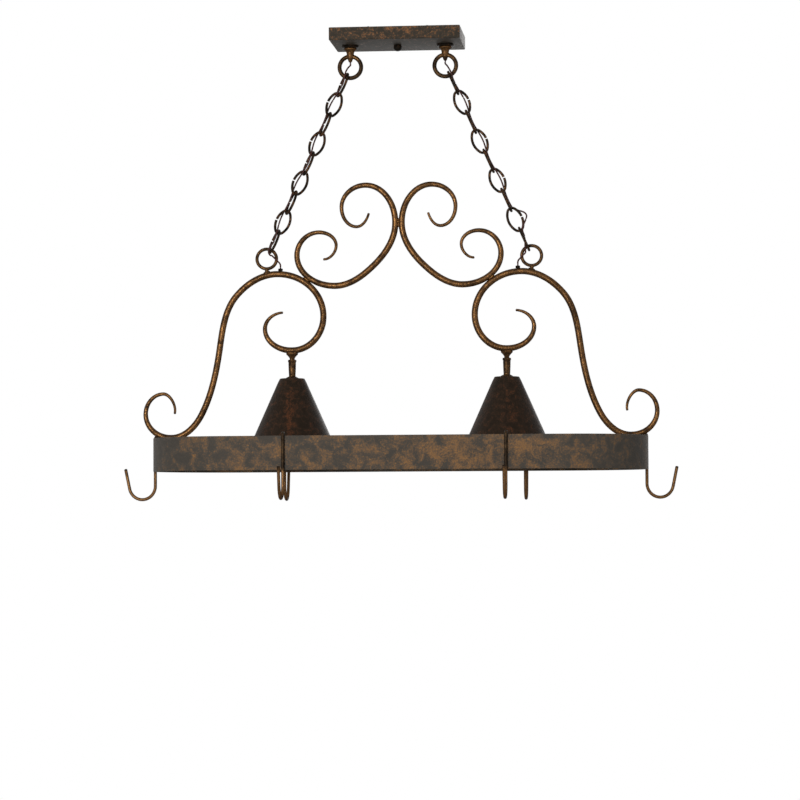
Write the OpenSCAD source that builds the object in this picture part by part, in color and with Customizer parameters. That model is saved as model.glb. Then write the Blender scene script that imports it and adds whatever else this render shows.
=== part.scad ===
// Hanging pot rack with two downlights, in millimetres.
// Origin: centre of the canopy's rim, on the ceiling. +Z is up and X runs along the rack.

/* [Canopy] */
// Length of the ceiling canopy, along the rack
canopy_len = 195; // [185:1:220]
// Depth of the canopy, front to back
canopy_depth = 115; // [100:1:140]
// Height of the canopy below the ceiling
canopy_h = 19; // [18:0.5:30]
// Thickness of the canopy's sheet steel
canopy_sheet = 1.2; // [0.8:0.1:2]
// Corner radius of the canopy
canopy_corner_r = 2.5; // [2.5:0.5:10]
// Distance between the two canopy loops
loop_spacing = 143; // [136:1:150]

/* [Mounting strap] */
// Length of the strap that carries the canopy
strap_len = 108; // [104:1:112]
// Width of the strap
strap_w = 16; // [14:0.5:22]
// Thickness of the strap
strap_t = 2.5; // [2:0.1:3]
// Distance between the two ceiling box screws
box_screw_spacing = 88.9; // [86:0.1:90]
// How far the slots let the ceiling box screws move inwards
slot_travel = 9.5; // [4:0.5:12]
// Diameter of the ceiling box screws
box_screw_d = 4.1; // [3.5:0.1:4.5]
// Diameter of the ceiling box screws' neck below the thread
screw_neck_d = 3.5; // [3:0.1:3.8]
// How far the ceiling box screws reach above the ceiling
box_screw_reach = 10; // [6:1:25]
// Diameter of the threaded stud between strap and cap nut
stud_d = 4.1; // [3.5:0.1:5]
// Diameter of the cap nut
cap_nut_d = 12; // [10:0.5:16]
// Height of the cap nut
cap_nut_h = 9.5; // [8:0.5:14]

/* [Canopy loops] */
// Diameter of the ring's wire in a canopy loop
loop_wire = 6.2; // [5:0.1:7]
// Inside diameter of the ring in a canopy loop
loop_ring_id = 26.4; // [25:0.2:30]
// Distance from the canopy's underside to the ring's centre
loop_drop = 32.4; // [31:0.2:38]
// Outside diameter of the washer above a loop
seat_washer_d = 24.8; // [22:0.2:30]
// Thickness of the washer above a loop
seat_washer_t = 3.5; // [2:0.5:5]
// Widest diameter of the loop's bell
bell_d = 19; // [17:0.5:22]
// Outside diameter of the threaded nipple in a loop
loop_nipple_d = 10.2; // [9:0.1:10.6]
// Bore of the threaded nipple in a loop
loop_nipple_bore = 6.5; // [5:0.1:7.5]

/* [Chains] */
// Length of a chain link outside
link_len = 40.3; // [38:0.1:44]
// Width of a chain link outside
link_w = 25; // [24:0.2:28]
// Diameter of the chain's wire
link_wire = 4; // [3.6:0.1:4.2]
// Width of the open joint in a link's side
link_joint_gap = 1.4; // [0.8:0.1:3]
// Turn of the left chain about its own line
left_chain_turn = -25; // [-27:1:0]

/* [Scroll frame] */
// Diameter of the scroll tubes
tube_d = 9.5; // [8.5:0.1:10]
// Wall of the wired scroll tubes
tube_wall = 1; // [0.8:0.1:1.2]
// Diameter of the scrolls' forged tails
tail_d = 3.6; // [3:0.1:5]
// Distance of a hanging ring outside the top of its arch
ring_out = 15.7; // [14:0.1:18]
// Inside diameter of a hanging ring
ring_id = 24.6; // [23:0.2:26]
// Diameter of a hanging ring's wire
ring_wire = 5; // [4.5:0.1:5.4]
// Depth from the rings' line to the top of the arches
arch_drop = 18.25; // [17.9:0.05:19]
// Distance between the tops of the two arches
arch_spacing = 366.6; // [364:0.2:369]
// Height of an arch above the bottom of its inner curl
arch_h = 115; // [110:0.5:120]
// Distance of the frame's feet from the ends of the band
foot_inset = 25.5; // [21:0.5:30]
// Height of an arch above the foot
foot_depth = 245; // [238:1:255]
// Reach of the curl outside each foot
foot_curl = 39; // [34:0.5:44]

/* [Downlights] */
// Distance between the two downlights
shade_spacing = 322; // [318:1:326]
// Diameter of a shade's flat top
shade_top_d = 37.5; // [37:0.5:46]
// Diameter of a shade's rim
shade_rim_d = 144; // [130:1:160]
// Height of a shade
shade_h = 120; // [112:1:126]
// Thickness of the spun sheet of a shade
shade_sheet = 1.2; // [0.8:0.1:2]
// Length of the neck's bracket under a scroll
bracket_h = 9.1; // [8:0.1:12]
// Widest diameter of the neck's bracket
bracket_d = 18; // [16:0.5:22]
// Length of the neck's barrel
barrel_h = 25.2; // [22:0.1:32]
// Diameter of the neck's barrel at its top
barrel_d = 12.8; // [12:0.2:16]
// Diameter of the neck's barrel at its foot
barrel_foot_d = 10; // [9.6:0.1:12]
// Diameter of the domed cap on a shade
shade_cap_d = 19.5; // [17:0.5:26]
// Height of the domed cap on a shade
shade_cap_h = 3; // [2.6:0.1:6]
// Outside diameter of the hollow screw that holds a shade
shade_nipple_d = 7; // [6:0.1:7.2]
// Bore of the lamp holder's screw shell
lamp_bore_d = 26.6; // [26:0.1:28]
// Depth of the lamp holder's screw shell
lamp_bore_depth = 25; // [22:1:28]
// Outside diameter of a lamp holder
holder_d = 34; // [32:0.5:36]
// Length of a lamp holder
holder_h = 42; // [38:1:48]

/* [Band] */
// Length of the oval band
band_len = 740; // [730:1:750]
// Depth of the oval band, front to back
band_depth = 250; // [240:1:260]
// Height of the oval band
band_h = 50; // [44:1:60]
// Thickness of the band's flat strip
band_t = 3; // [2.6:0.1:4]
// Width of the bars across the band's ends
crossbar_w = 20; // [16:1:26]
// Thickness of the bars across the band's ends
crossbar_t = 5; // [3:0.5:8]
// How far the crossbars' tops lie below the band's top edge
crossbar_sink = 4; // [1:0.5:6]

/* [Pot hooks] */
// Diameter of the hooks' wire
hook_wire = 4.8; // [4.2:0.1:5.4]
// Bend radius at the bottom of a hook, to the wire's centre
hook_bend_r = 20.5; // [17:0.5:24]
// How far a hook reaches below the band, to the wire's centre
hook_reach = 41.5; // [38:0.5:50]
// Length of the straight tip of a hook
hook_tip = 31; // [24:1:36]
// Outward lean of a hook's tip
hook_lean = 12; // [4:1:18]
// Length of the leg that holds a hook inside the band
hook_leg = 14; // [8:1:20]
// Place of the front left hook along the band
front_left_hook_x = -158.5; // [-185:0.5:-130]
// Place of the front right hook along the band
front_right_hook_x = 166; // [130:0.5:185]
// Place of the rear left hook along the band
rear_left_hook_x = -190; // [-195:0.5:-130]
// Place of the rear right hook along the band
rear_right_hook_x = 181; // [130:0.5:200]
// Turn of the left end hook towards the rear
left_hook_turn = 7; // [4:1:18]
// Turn of the right end hook towards the rear
right_hook_turn = 17; // [4:1:18]

/* [Leads] */
// Diameter of the lamp leads
lead_d = 2.4; // [2:0.1:2.6]
// Distance of a lead from the chain's line
lead_weave_r = 5; // [4.8:0.1:5.3]
// Outward bow of the right lead beside its chain
lead_bow = 13; // [12:0.5:16]

/* [Fits] */
// Gap between pieces that move on each other
move_gap = 0.3; // [0.2:0.05:0.5]
// Gap between chain links that are pulled tight
link_gap = 0.2; // [0.1:0.05:0.3]
// Gap at the right chain's lowest link, which the rack's sway takes up
sway_gap = 1.2; // [0.9:0.1:1.4]
// Gap between pieces that are welded or screwed together
seat_gap = 0.1; // [0.05:0.05:0.2]
// Extra diameter of a hole over its screw or nipple
hole_play = 0.4; // [0.2:0.1:0.8]

/* [Hidden] */
LINKS = 9;
TUBE_SIDES = 12;
LEAD_SIDES = 8;
CURVE_STEPS = 8;
IRON = "#4a3826";
DARK_IRON = "#332a22";
STEEL = "#8d8f92";
BLACK_SHELL = "#1c1c1c";
LEAD_BROWN = "#3a1512";
eps = 0.01;

// Canopy and loops, from the ceiling down
canopy_bottom = -canopy_h;
canopy_floor = canopy_bottom + canopy_sheet;
washer_bottom = canopy_bottom - seat_washer_t;
loop_x = loop_spacing / 2;
loop_ring_z = canopy_bottom - loop_drop;
loop_ring_r = (loop_ring_id + loop_wire) / 2;
loop_ring_top = loop_ring_z + loop_ring_r + loop_wire / 2;
bell_rim_h = 2.5;
bell_edge = 0.8;
bell_neck_z = loop_ring_top + 1;
nub_d = 9;
nub_tip_d = 5;
nub_reach = 5.5;
nub_z = loop_ring_z + loop_ring_id / 2 - nub_reach;
locknut_h = 4;
locknut_d = 16;
nipple_grip = 6;
nipple_past_nut = 1.3;
nipple_top = canopy_floor + locknut_h + nipple_past_nut;
nipple_foot = washer_bottom - nipple_grip;
cap_nut_dome = 3.5;
cap_nut_thread_z = canopy_bottom - cap_nut_h + 3;
stud_foot = cap_nut_thread_z + seat_gap;
stud_top = -0.3;
stud_nut_h = 3.2;
stud_nut_d = 8.6;
screw_head_h = 2.6;
screw_head_d = 7.6;
screw_slot_w = 0.8;
screw_slot_l = 4;
screw_slot_depth = 1.2;
connector_l = 20;
connector_d = 13;
connector_tip_d = 9;
connector_x = 28;
connector_y = 32;
connector_z = -strap_t - connector_d / 2 - 1.2;
connector_pocket = 8;

// Across, from the middle of the rack
arch_x = arch_spacing / 2;
ring_x = arch_x + ring_out;
foot_x = band_len / 2 - foot_inset;
shade_x = shade_spacing / 2;

// Chains, along the line from a canopy loop's ring to a hanging ring
link_pitch = link_len - 2 * link_wire - link_gap;
ring_r = (ring_id + ring_wire) / 2;
// Distance from the canopy ring's centre to the first link's top bend
chain_start = loop_ring_r - (loop_wire + link_wire) / 2 - move_gap;
// Distance from the last link's lower bend to the hanging ring's centre
chain_end = ring_r - (ring_wire + link_wire) / 2 - move_gap;
chain_l = chain_start + (LINKS - 1) * link_pitch + link_len - link_wire + chain_end;
chain_run = ring_x - loop_x;
chain_drop = sqrt(chain_l * chain_l - chain_run * chain_run);
chain_lean = asin(chain_run / chain_l);
// A link's outline: two end arcs and two side arcs, to the wire's centre
link_end_r = 7;
link_a = (link_len - link_wire) / 2;
link_b = (link_w - link_wire) / 2;
link_side_r = (pow(link_a - link_end_r, 2) + link_b * link_b - link_end_r * link_end_r)
    / (2 * (link_b - link_end_r));
link_side_angle = atan2(link_a - link_end_r, link_side_r - link_b);
link_joint_angle = asin(link_joint_gap / 2 / link_side_r);
// Stretches of bent wire stop just short of each other inside a slight bead
bead_rise = 0.1;
bead_room = 0.15;

// Frame, measured from the line through the centres of the two hanging rings
ring_z = loop_ring_z - chain_drop;
lug_d = 6;
arch_z = -arch_drop - tube_d / 2;
curl_z = arch_z - arch_h;
foot_z = arch_z - foot_depth;
weld_gap = seat_gap / 2;
mid_x = tube_d / 2 + weld_gap;

// Knots of the lower scroll, beside the foot, the arch and the inner curl
foot_bend_in = 45.7;
foot_bend_up = 34;
leg_out = 89.5;
leg_down = 125;
shoulder_out = 62.5;
shoulder_down = 33;
inner_side_in = 69.7;
inner_side_up = 51;
eye_out = 41;
eye_up = 32.5;
eye_tip_out = 13.5;
eye_tip_up = 57;
// Knots of the upper scroll's heart, beside the middle and above the rings' line
heart_tip_out = 39.7;
heart_tip_up = 67;
heart_eye_out = 58.2;
heart_eye_up = 46.7;
heart_side_out = 80.9;
heart_side_up = 76;
heart_top_out = 44.7;
heart_top_up = 109;
heart_joint_up = 52;
heart_foot_out = 29.7;
heart_foot_down = 8.5;
// Knots of the upper scroll's curl, beside the arch
seat_in = 87.3;
seat_down = 28.2;
curl_side_in = 20.5;
curl_side_up = 27.5;
curl_top_in = 63.3;
curl_top_up = 62;
curl_back_in = 89.3;
curl_back_up = 42;
curl_tip_in = 69.6;
curl_tip_up = 21.5;

// Diameter where a bar has thickened from its tail by a share of the way to the full tube
function taper(share) = tail_d + share * (tube_d - tail_d);

// Knots of a scroll: across, up, heading in degrees, diameter
LOWER_SCROLL = [
    [foot_x - 0.13 * foot_curl, foot_z + 0.92 * foot_curl, 105, tail_d],
    [foot_x + 0.30 * foot_curl, foot_z + 1.70 * foot_curl, 0, taper(0.27)],
    [foot_x + foot_curl, foot_z + 0.92 * foot_curl, -90, taper(0.58)],
    [foot_x, foot_z, 180, tube_d],
    [foot_x - foot_bend_in, foot_z + foot_bend_up, 118, tube_d],
    [arch_x + leg_out, arch_z - leg_down, 99.5, tube_d],
    [arch_x + shoulder_out, arch_z - shoulder_down, 130, tube_d],
    [arch_x, arch_z, 180, tube_d],
    [arch_x - inner_side_in, curl_z + inner_side_up, -90, tube_d],
    [shade_x, curl_z, 0, tube_d],
    [shade_x + eye_out, curl_z + eye_up, 90, taper(0.51)],
    [shade_x + eye_tip_out, curl_z + eye_tip_up, 178, tail_d]
];
SHOULDER_KNOT = 6;
ARCH_KNOT = 7;
SEAT_KNOT = 9;
UPPER_SCROLL = [
    [mid_x + heart_tip_out, heart_tip_up, -75, tail_d],
    [mid_x + heart_eye_out, heart_eye_up, 0, taper(0.2)],
    [mid_x + heart_side_out, heart_side_up, 90, taper(0.41)],
    [mid_x + heart_top_out, heart_top_up, 180, taper(0.75)],
    [mid_x, heart_joint_up, -90, tube_d],
    [mid_x + heart_foot_out, -heart_foot_down, -45, tube_d],
    [arch_x - seat_in, arch_z - seat_down + tube_d, 0, tube_d],
    [arch_x - curl_side_in - tube_d, arch_z + curl_side_up, 90, taper(0.81)],
    [arch_x - curl_top_in, arch_z + curl_top_up, 180, taper(0.44)],
    [arch_x - curl_back_in, arch_z + curl_back_up, -90, taper(0.2)],
    [arch_x - curl_tip_in, arch_z + curl_tip_up, 8, tail_d]
];

// Downlights, measured from the rings' line
neck_bore = 4.4;
bracket_top = curl_z - tube_d / 2 - seat_gap;
bracket_rim_h = 1.5;
bracket_waist_d = 7.5;
spigot_d = 6.4;
spigot_h = 7;
barrel_top = bracket_top - bracket_h;
barrel_rim_h = 4;
barrel_foot = barrel_top - barrel_h;
barrel_thread = 10;
shade_top = barrel_foot - shade_cap_h;
shade_rim = shade_top - shade_h;
shade_inner = shade_top - shade_sheet;
shade_side = (shade_rim_d - shade_top_d) / 2 / shade_h;
shade_wall = shade_sheet * sqrt(1 + shade_side * shade_side);
shade_nut_h = 3;
shade_nut_d = 13;
holder_top = shade_inner - shade_nut_h - seat_gap;
holder_cap_d = 20;
holder_cap_h = 8;
holder_thread = 7;
holder_wire_room = 12;
holder_bottom = holder_top - holder_h;

// Band and hooks, measured from the rings' line
crossbar_top = foot_z - tube_d / 2 - seat_gap;
band_top = crossbar_top + crossbar_sink;
band_bottom = band_top - band_h;
band_end_x = (band_len - band_depth) / 2;
hook_u_sink = 0.5;
hook_u_r = (band_t + hook_wire) / 2 + move_gap;
hook_u_z = band_top - hook_u_sink;
hook_bottom = band_bottom - hook_reach;

// Route of a lead inside the canopy, from its connector down into a loop
LEAD_IN_CANOPY = [
    [connector_x - 6, connector_y, connector_z], [34, connector_y, connector_z],
    [41, 31, -9.8], [48, 28.5, -8.8], [54.5, 24, -7.6], [60, 18.5, -6.8], [64.5, 12.5, -6.3],
    [68, 7, -6.3], [70.5, 3, -7], [loop_x, 0.8, -9.5], [loop_x, 0, -13], [loop_x, 0, -19],
    [loop_x, 0, -26], [loop_x, 0, -33], [loop_x, 0, -40], [loop_x, 0, loop_ring_z + 6]
];
// Routes from a loop to the first link, along [out, back, down] of the chain's line
LEAD_START_RIGHT = [[2.4, -1.8, 1.5], [3.2, -3.9, 7], [3.6, -5, 13], [3.1, -5.3, 18.5]];
LEAD_START_LEFT = [[2.6, -2.4, 2.5], [2.9, -4.6, 9], [1.5, -5.5, 15.5]];
// Routes past the last link, with the height above the hanging ring's centre
LEAD_END_RIGHT = [[0.5, -4.8, 24], [-2.2, -4.8, 18.5], [-4.4, -5.4, 12.5]];
LEAD_END_LEFT = [[1.1, -6.9, 19.7], [0.6, -8.5, 10.9], [-3.3, -7.4, 7.1]];
// Route from there to the arch, in the frame's own directions
LEAD_TO_ARCH = [[-9, -6.6, 4], [-13, -6, 0], [-17, -4.2, -4], [-19.8, -1.8, -7]];
lead_swing = 63;
lead_weave_back = lead_weave_r + 0.6;
BOW_LINK = 8;
bow_links = 0.62;
WEAVE_FIRST = 0.86;
WEAVE_LAST_RIGHT = 8.94;
WEAVE_LAST_LEFT = 9.06;
weave_step = 0.2;

// Where a lead goes through the arch's wall and down to its lamp holder
bushing_in = 5;
bushing_d = 7;
bushing_h = 3.4;
bushing_stem_d = 4.8;
bushing_stem_h = 2.2;
entry_x = arch_x - bushing_in;
entry_z = arch_z + tube_d / 2 + weld_gap + bushing_h;
lead_meet_z = entry_z + 2;
lead_foot_z = holder_top - holder_wire_room + 2;

// Directions, curves and swept tubes
function unit(v) = v / norm(v);
function heading(a) = [cos(a), sin(a)];
function lerp(a, b, t) = a + (b - a) * t;
function clamp(v, low, high) = min(max(v, low), high);
function bezier(a, b, c, d, t) =
    pow(1 - t, 3) * a + 3 * pow(1 - t, 2) * t * b + 3 * (1 - t) * t * t * c + pow(t, 3) * d;

// Share of the way to the next knot that a Bezier handle takes, for the turn between the knots
function handle(turn) = 1 / (3 * pow(cos(turn / 4), 2) * cos(turn / 2));
function turn_between(a, b) = abs((b - a + 540) % 360 - 180);

// Point and diameter at the share t of the curve from knot k to the next one
function knot_point(knots, k, t) =
    let (p = [knots[k][0], knots[k][1]], q = [knots[k + 1][0], knots[k + 1][1]],
         u = heading(knots[k][2]), v = heading(knots[k + 1][2]),
         h = handle(min(90, turn_between(knots[k][2], knots[k + 1][2]))),
         a = p + u * h * abs((q - p) * u), b = q - v * h * abs((q - p) * v))
    concat(bezier(p, a, b, q, t), [lerp(knots[k][3], knots[k + 1][3], t)]);

function knot_curve(knots, first, last) = concat(
    [for (k = [first : last - 1], s = [0 : CURVE_STEPS - 1]) knot_point(knots, k, s / CURVE_STEPS)],
    [knot_point(knots, last - 1, 1)]
);

function tangent(path, i) = unit(path[min(i + 1, len(path) - 1)] - path[max(i - 1, 0)]);

// Corners of one cross-section of a swept tube
function section(path, i, r, sides) =
    let (d = tangent(path, i), u = unit(cross(d, [0, 1, 0])), v = cross(d, u))
    [for (j = [0 : sides - 1]) path[i] + r * (cos(360 * j / sides) * u + sin(360 * j / sides) * v)];

// The arch's line below a hanging ring
arch_samples = [for (s = [0 : 16]) 1 - s / 16];
ring_share = lookup(ring_x, [for (t = arch_samples) [knot_point(LOWER_SCROLL, SHOULDER_KNOT, t)[0], t]]);
arch_at_ring = knot_point(LOWER_SCROLL, SHOULDER_KNOT, ring_share);
arch_beside = arch_at_ring - knot_point(LOWER_SCROLL, SHOULDER_KNOT, ring_share - 0.01);
arch_slope = atan2(arch_beside[1], arch_beside[0]);

module swept_tube(path, radii, sides) {
    n = len(path);
    last = (n - 1) * sides;
    points = [for (i = [0 : n - 1]) each section(path, i, radii[i], sides)];
    walls = [
        for (i = [0 : n - 2], j = [0 : sides - 1])
            let (a = i * sides + j, b = i * sides + (j + 1) % sides, c = a + sides, d = b + sides)
            each [[a, c, b], [b, c, d]]
    ];
    ends = [for (j = [1 : sides - 2]) each [[0, j, j + 1], [last, last + j + 1, last + j]]];
    polyhedron(points, concat(walls, ends), convexity = 10);
}

// The part of a scroll between two knots, thicker by grow or thinner
module scroll_bar(knots, first, last, grow = 0) {
    curve = knot_curve(knots, first, last);
    swept_tube([for (p = curve) [p[0], 0, p[1]]], [for (p = curve) p[2] / 2 + grow], TUBE_SIDES);
}

module lead_tube(path) {
    swept_tube(path, [for (p = path) lead_d / 2], LEAD_SIDES);
}

// Round bar bent to an arc from angle a0 to a1, upright in the XZ plane
module bent_bar(r, d, a0, a1) {
    rotate([90, 0, 0]) rotate([0, 0, a0])
        rotate_extrude(angle = a1 - a0, $fn = 96) translate([r, 0]) circle(d = d, $fn = 32);
}

// Joins two stretches of wire that meet here
module wire_bead(d) {
    sphere(d = d + bead_rise, $fn = 48);
}

module upright_ring(r, d) {
    rotate([90, 0, 0]) rotate_extrude($fn = 96) translate([r, 0]) circle(d = d, $fn = 32);
}

module bored(d, bore, h) {
    difference() {
        cylinder(d = d, h = h, $fn = 64);
        translate([0, 0, -eps]) cylinder(d = bore, h = h + 2 * eps, $fn = 64);
    }
}

module hex_nut(d, bore, h) {
    difference() {
        cylinder(d = d, h = h, $fn = 6);
        translate([0, 0, -eps]) cylinder(d = bore, h = h + 2 * eps, $fn = 64);
    }
}

module rounded_rect(length, depth, r) {
    square([length - 2 * r, depth], center = true);
    square([length, depth - 2 * r], center = true);
    for (x = [-1, 1], y = [-1, 1])
        translate([x * (length / 2 - r), y * (depth / 2 - r)]) circle(r = r, $fn = 48);
}

// Oval with straight sides and round ends
module racetrack(length, depth) {
    square([length - depth, depth], center = true);
    for (x = [-1, 1]) translate([x * (length - depth) / 2, 0]) circle(d = depth, $fn = 128);
}

module both_sides(x) {
    for (side = [-1, 1]) translate([side * x, 0, 0]) children();
}

// Children drawn for the right side, mirrored where side is -1
module on_side(side) {
    if (side < 0) mirror([1, 0, 0]) children();
    else children();
}

// Ceiling canopy and what holds it
module canopy() {
    color(IRON) difference() {
        translate([0, 0, canopy_bottom]) linear_extrude(canopy_h)
            rounded_rect(canopy_len, canopy_depth, canopy_corner_r);
        translate([0, 0, canopy_floor]) linear_extrude(canopy_h)
            rounded_rect(canopy_len - 2 * canopy_sheet, canopy_depth - 2 * canopy_sheet,
                         canopy_corner_r - canopy_sheet);
        translate([0, 0, canopy_bottom - eps]) {
            cylinder(d = stud_d + hole_play, h = canopy_sheet + 2 * eps, $fn = 48);
            both_sides(loop_x)
                cylinder(d = loop_nipple_d + hole_play, h = canopy_sheet + 2 * eps, $fn = 64);
        }
    }
}

module mounting_strap() {
    slot_w = box_screw_d + hole_play;
    color(STEEL) translate([0, 0, -strap_t]) difference() {
        translate([-strap_len / 2, -strap_w / 2, 0]) cube([strap_len, strap_w, strap_t]);
        translate([0, 0, -eps]) {
            cylinder(d = stud_d + seat_gap, h = strap_t + 2 * eps, $fn = 48);
            both_sides((box_screw_spacing - slot_travel) / 2)
                linear_extrude(strap_t + 2 * eps) racetrack(slot_travel + slot_w, slot_w);
        }
    }
}

module strap_screws() {
    color(STEEL) both_sides(box_screw_spacing / 2) translate([0, 0, -strap_t]) {
        translate([0, 0, -eps]) cylinder(d = screw_neck_d, h = strap_t + 2 * eps, $fn = 48);
        translate([0, 0, strap_t]) cylinder(d = box_screw_d, h = box_screw_reach, $fn = 48);
        translate([0, 0, -screw_head_h]) difference() {
            cylinder(d = screw_head_d, h = screw_head_h, $fn = 48);
            for (a = [0, 90]) rotate([0, 0, a])
                translate([-screw_slot_l / 2, -screw_slot_w / 2, -eps])
                    cube([screw_slot_l, screw_slot_w, screw_slot_depth]);
        }
    }
}

// Threaded stud with the nut that locks it to the strap
module canopy_stud() {
    color(STEEL) {
        translate([0, 0, stud_foot]) cylinder(d = stud_d, h = stud_top - stud_foot, $fn = 48);
        translate([0, 0, -strap_t - stud_nut_h]) hex_nut(stud_nut_d, stud_d + seat_gap, stud_nut_h);
    }
}

module cap_nut() {
    r = cap_nut_d / 2;
    color(DARK_IRON) translate([0, 0, canopy_bottom - cap_nut_h]) difference() {
        rotate_extrude($fn = 64) {
            translate([0, cap_nut_dome]) square([r, cap_nut_h - cap_nut_dome]);
            polygon([[0, 0], [0.35 * r, 0], [0.75 * r, 0.3 * cap_nut_dome],
                     [0.94 * r, 0.65 * cap_nut_dome], [r, cap_nut_dome], [0, cap_nut_dome]]);
        }
        translate([0, 0, cap_nut_thread_z - canopy_bottom + cap_nut_h])
            cylinder(d = stud_d + seat_gap, h = cap_nut_h, $fn = 48);
    }
}

// Cast loop under the canopy: bell, neck and ring, with a bore for the lead
module canopy_loop(side) {
    r = bell_d / 2;
    neck_r = (nub_d + 1) / 2;
    color(IRON) translate([side * loop_x, 0, 0]) difference() {
        union() {
            rotate_extrude($fn = 64) polygon([
                [0, washer_bottom], [r - bell_edge, washer_bottom], [r, washer_bottom - bell_edge],
                [r, washer_bottom - bell_rim_h], [neck_r, bell_neck_z],
                [neck_r, loop_ring_top - loop_wire / 2], [nub_d / 2, loop_ring_top - loop_wire],
                [nub_tip_d / 2, nub_z], [0, nub_z]
            ]);
            translate([0, 0, loop_ring_z]) upright_ring(loop_ring_r, loop_wire);
        }
        translate([0, 0, nub_z - eps])
            cylinder(d = lead_d + 1, h = washer_bottom - nub_z, $fn = 48);
        translate([0, 0, nipple_foot - seat_gap])
            cylinder(d = loop_nipple_d + seat_gap, h = nipple_grip + 2 * seat_gap, $fn = 64);
    }
}

module loop_seat_washers() {
    color(DARK_IRON) both_sides(loop_x) translate([0, 0, washer_bottom])
        bored(seat_washer_d, loop_nipple_d + hole_play, seat_washer_t);
}

module loop_nipples() {
    color(STEEL) both_sides(loop_x) translate([0, 0, nipple_foot])
        bored(loop_nipple_d, loop_nipple_bore, nipple_top - nipple_foot);
}

module loop_locknuts() {
    color(STEEL) both_sides(loop_x) translate([0, 0, canopy_floor])
        hex_nut(locknut_d, loop_nipple_d + seat_gap, locknut_h);
}

module wire_connectors() {
    color(DARK_IRON) for (side = [-1, 1])
        translate([side * connector_x, connector_y, connector_z]) rotate([0, -side * 90, 0])
            difference() {
                cylinder(d1 = connector_d, d2 = connector_tip_d, h = connector_l, $fn = 48);
                translate([0, 0, -eps])
                    cylinder(d = lead_d + hole_play, h = connector_pocket, $fn = 32);
            }
}

// Chains
// Distance from a canopy ring's centre to the middle of link i, which may be a fraction.
// The right chain's middle links hang tighter, so that its last link gets the sway gap.
function link_place(side, i) =
    chain_start + link_a + (i - 1) * link_pitch
    + (side > 0 ? clamp(i - 2, 0, LINKS - 3) * (sway_gap - move_gap) / (LINKS - 3) : 0);

function chain_turn(side) = side < 0 ? left_chain_turn : 0;

// Oval link of round wire along Z, with its open joint in the side at +X
module chain_link() {
    side_shift = link_side_r - link_b;
    end_room = asin(bead_room / link_end_r);
    side_room = asin(bead_room / link_side_r);
    for (turn = [0, 180]) rotate([0, turn, 0]) translate([0, 0, link_a - link_end_r]) {
        bent_bar(link_end_r, link_wire, link_side_angle + end_room,
                 180 - link_side_angle - end_room);
        both_sides(link_end_r * cos(link_side_angle))
            translate([0, 0, link_end_r * sin(link_side_angle)]) wire_bead(link_wire);
    }
    translate([side_shift, 0, 0])
        bent_bar(link_side_r, link_wire, 180 - link_side_angle + side_room,
                 180 + link_side_angle - side_room);
    for (up = [0, 1]) mirror([0, 0, up]) translate([-side_shift, 0, 0])
        bent_bar(link_side_r, link_wire, link_joint_angle, link_side_angle - side_room);
}

module chain_link_at(side, i) {
    color(DARK_IRON) on_side(side) translate([loop_x, 0, loop_ring_z])
        rotate([0, -chain_lean, 0]) translate([0, 0, -link_place(side, i)])
            rotate([0, 0, (i % 2) * 90 + chain_turn(side)]) chain_link();
}

// Leads
// A point beside the chain's line: out, back and down from the canopy ring's centre
function beside_chain(p) = [
    loop_x + p[0] * cos(chain_lean) + p[2] * sin(chain_lean), p[1],
    loop_ring_z + p[0] * sin(chain_lean) - p[2] * cos(chain_lean)
];

function bow(k) = pow(cos(90 * min(1, abs(k - BOW_LINK) / bow_links)), 2);

// A lead goes through every second link, from the front to the back and again to the front
function woven_point(side, k) =
    let (a = -lead_swing * cos(90 * (k - 1)), turn = chain_turn(side),
         out = lead_weave_r * cos(a) + (side > 0 ? lead_bow * bow(k) : 0),
         back = lead_weave_back * sin(a))
    beside_chain([out * cos(turn) - back * sin(turn), out * sin(turn) + back * cos(turn),
                  link_place(side, k)]);

function lead_along_chain(side) =
    let (first = side < 0 ? LEAD_START_LEFT : LEAD_START_RIGHT,
         last = side < 0 ? LEAD_END_LEFT : LEAD_END_RIGHT,
         weave_end = side < 0 ? WEAVE_LAST_LEFT : WEAVE_LAST_RIGHT)
    concat(
        [for (up = [6, 3]) [loop_x, 0, loop_ring_z + up]],
        [for (p = first) beside_chain(p)],
        [for (k = [WEAVE_FIRST : weave_step : weave_end]) woven_point(side, k)],
        [for (p = last) beside_chain([p[0], p[1], chain_l - p[2]])],
        [for (p = LEAD_TO_ARCH) [ring_x + p[0], p[1], ring_z + p[2]]],
        [[entry_x, -0.2, ring_z + lead_meet_z + 3],
         [entry_x, 0, ring_z + lead_meet_z + move_gap]]
    );

function lead_in_arch() = [
    for (p = knot_curve(LOWER_SCROLL, ARCH_KNOT, SEAT_KNOT))
        if (p[0] < entry_x - 5 && (p[1] > curl_z + arch_h / 2 || p[0] < shade_x - 6))
            [p[0], 0, p[1]]
];

function lead_in_frame() = concat(
    [for (z = [lead_meet_z, entry_z, entry_z - bushing_h, arch_z + 2.6]) [entry_x, 0, z]],
    [[entry_x - 1.6, 0, arch_z]],
    lead_in_arch(),
    [[shade_x - 2.4, 0, curl_z - 0.6], [shade_x - 0.4, 0, curl_z - 3.2]],
    [for (z = [curl_z - 7 : -7 : lead_foot_z + 3]) [shade_x, 0, z]],
    [[shade_x, 0, lead_foot_z]]
);

module lead_canopy_part(side) {
    color(LEAD_BROWN) on_side(side) lead_tube(LEAD_IN_CANOPY);
}

module lead_chain_part(side) {
    color(LEAD_BROWN) on_side(side) lead_tube(lead_along_chain(side));
}

module lead_frame_part(side) {
    color(LEAD_BROWN) on_side(side) translate([0, 0, ring_z]) lead_tube(lead_in_frame());
}

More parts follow.
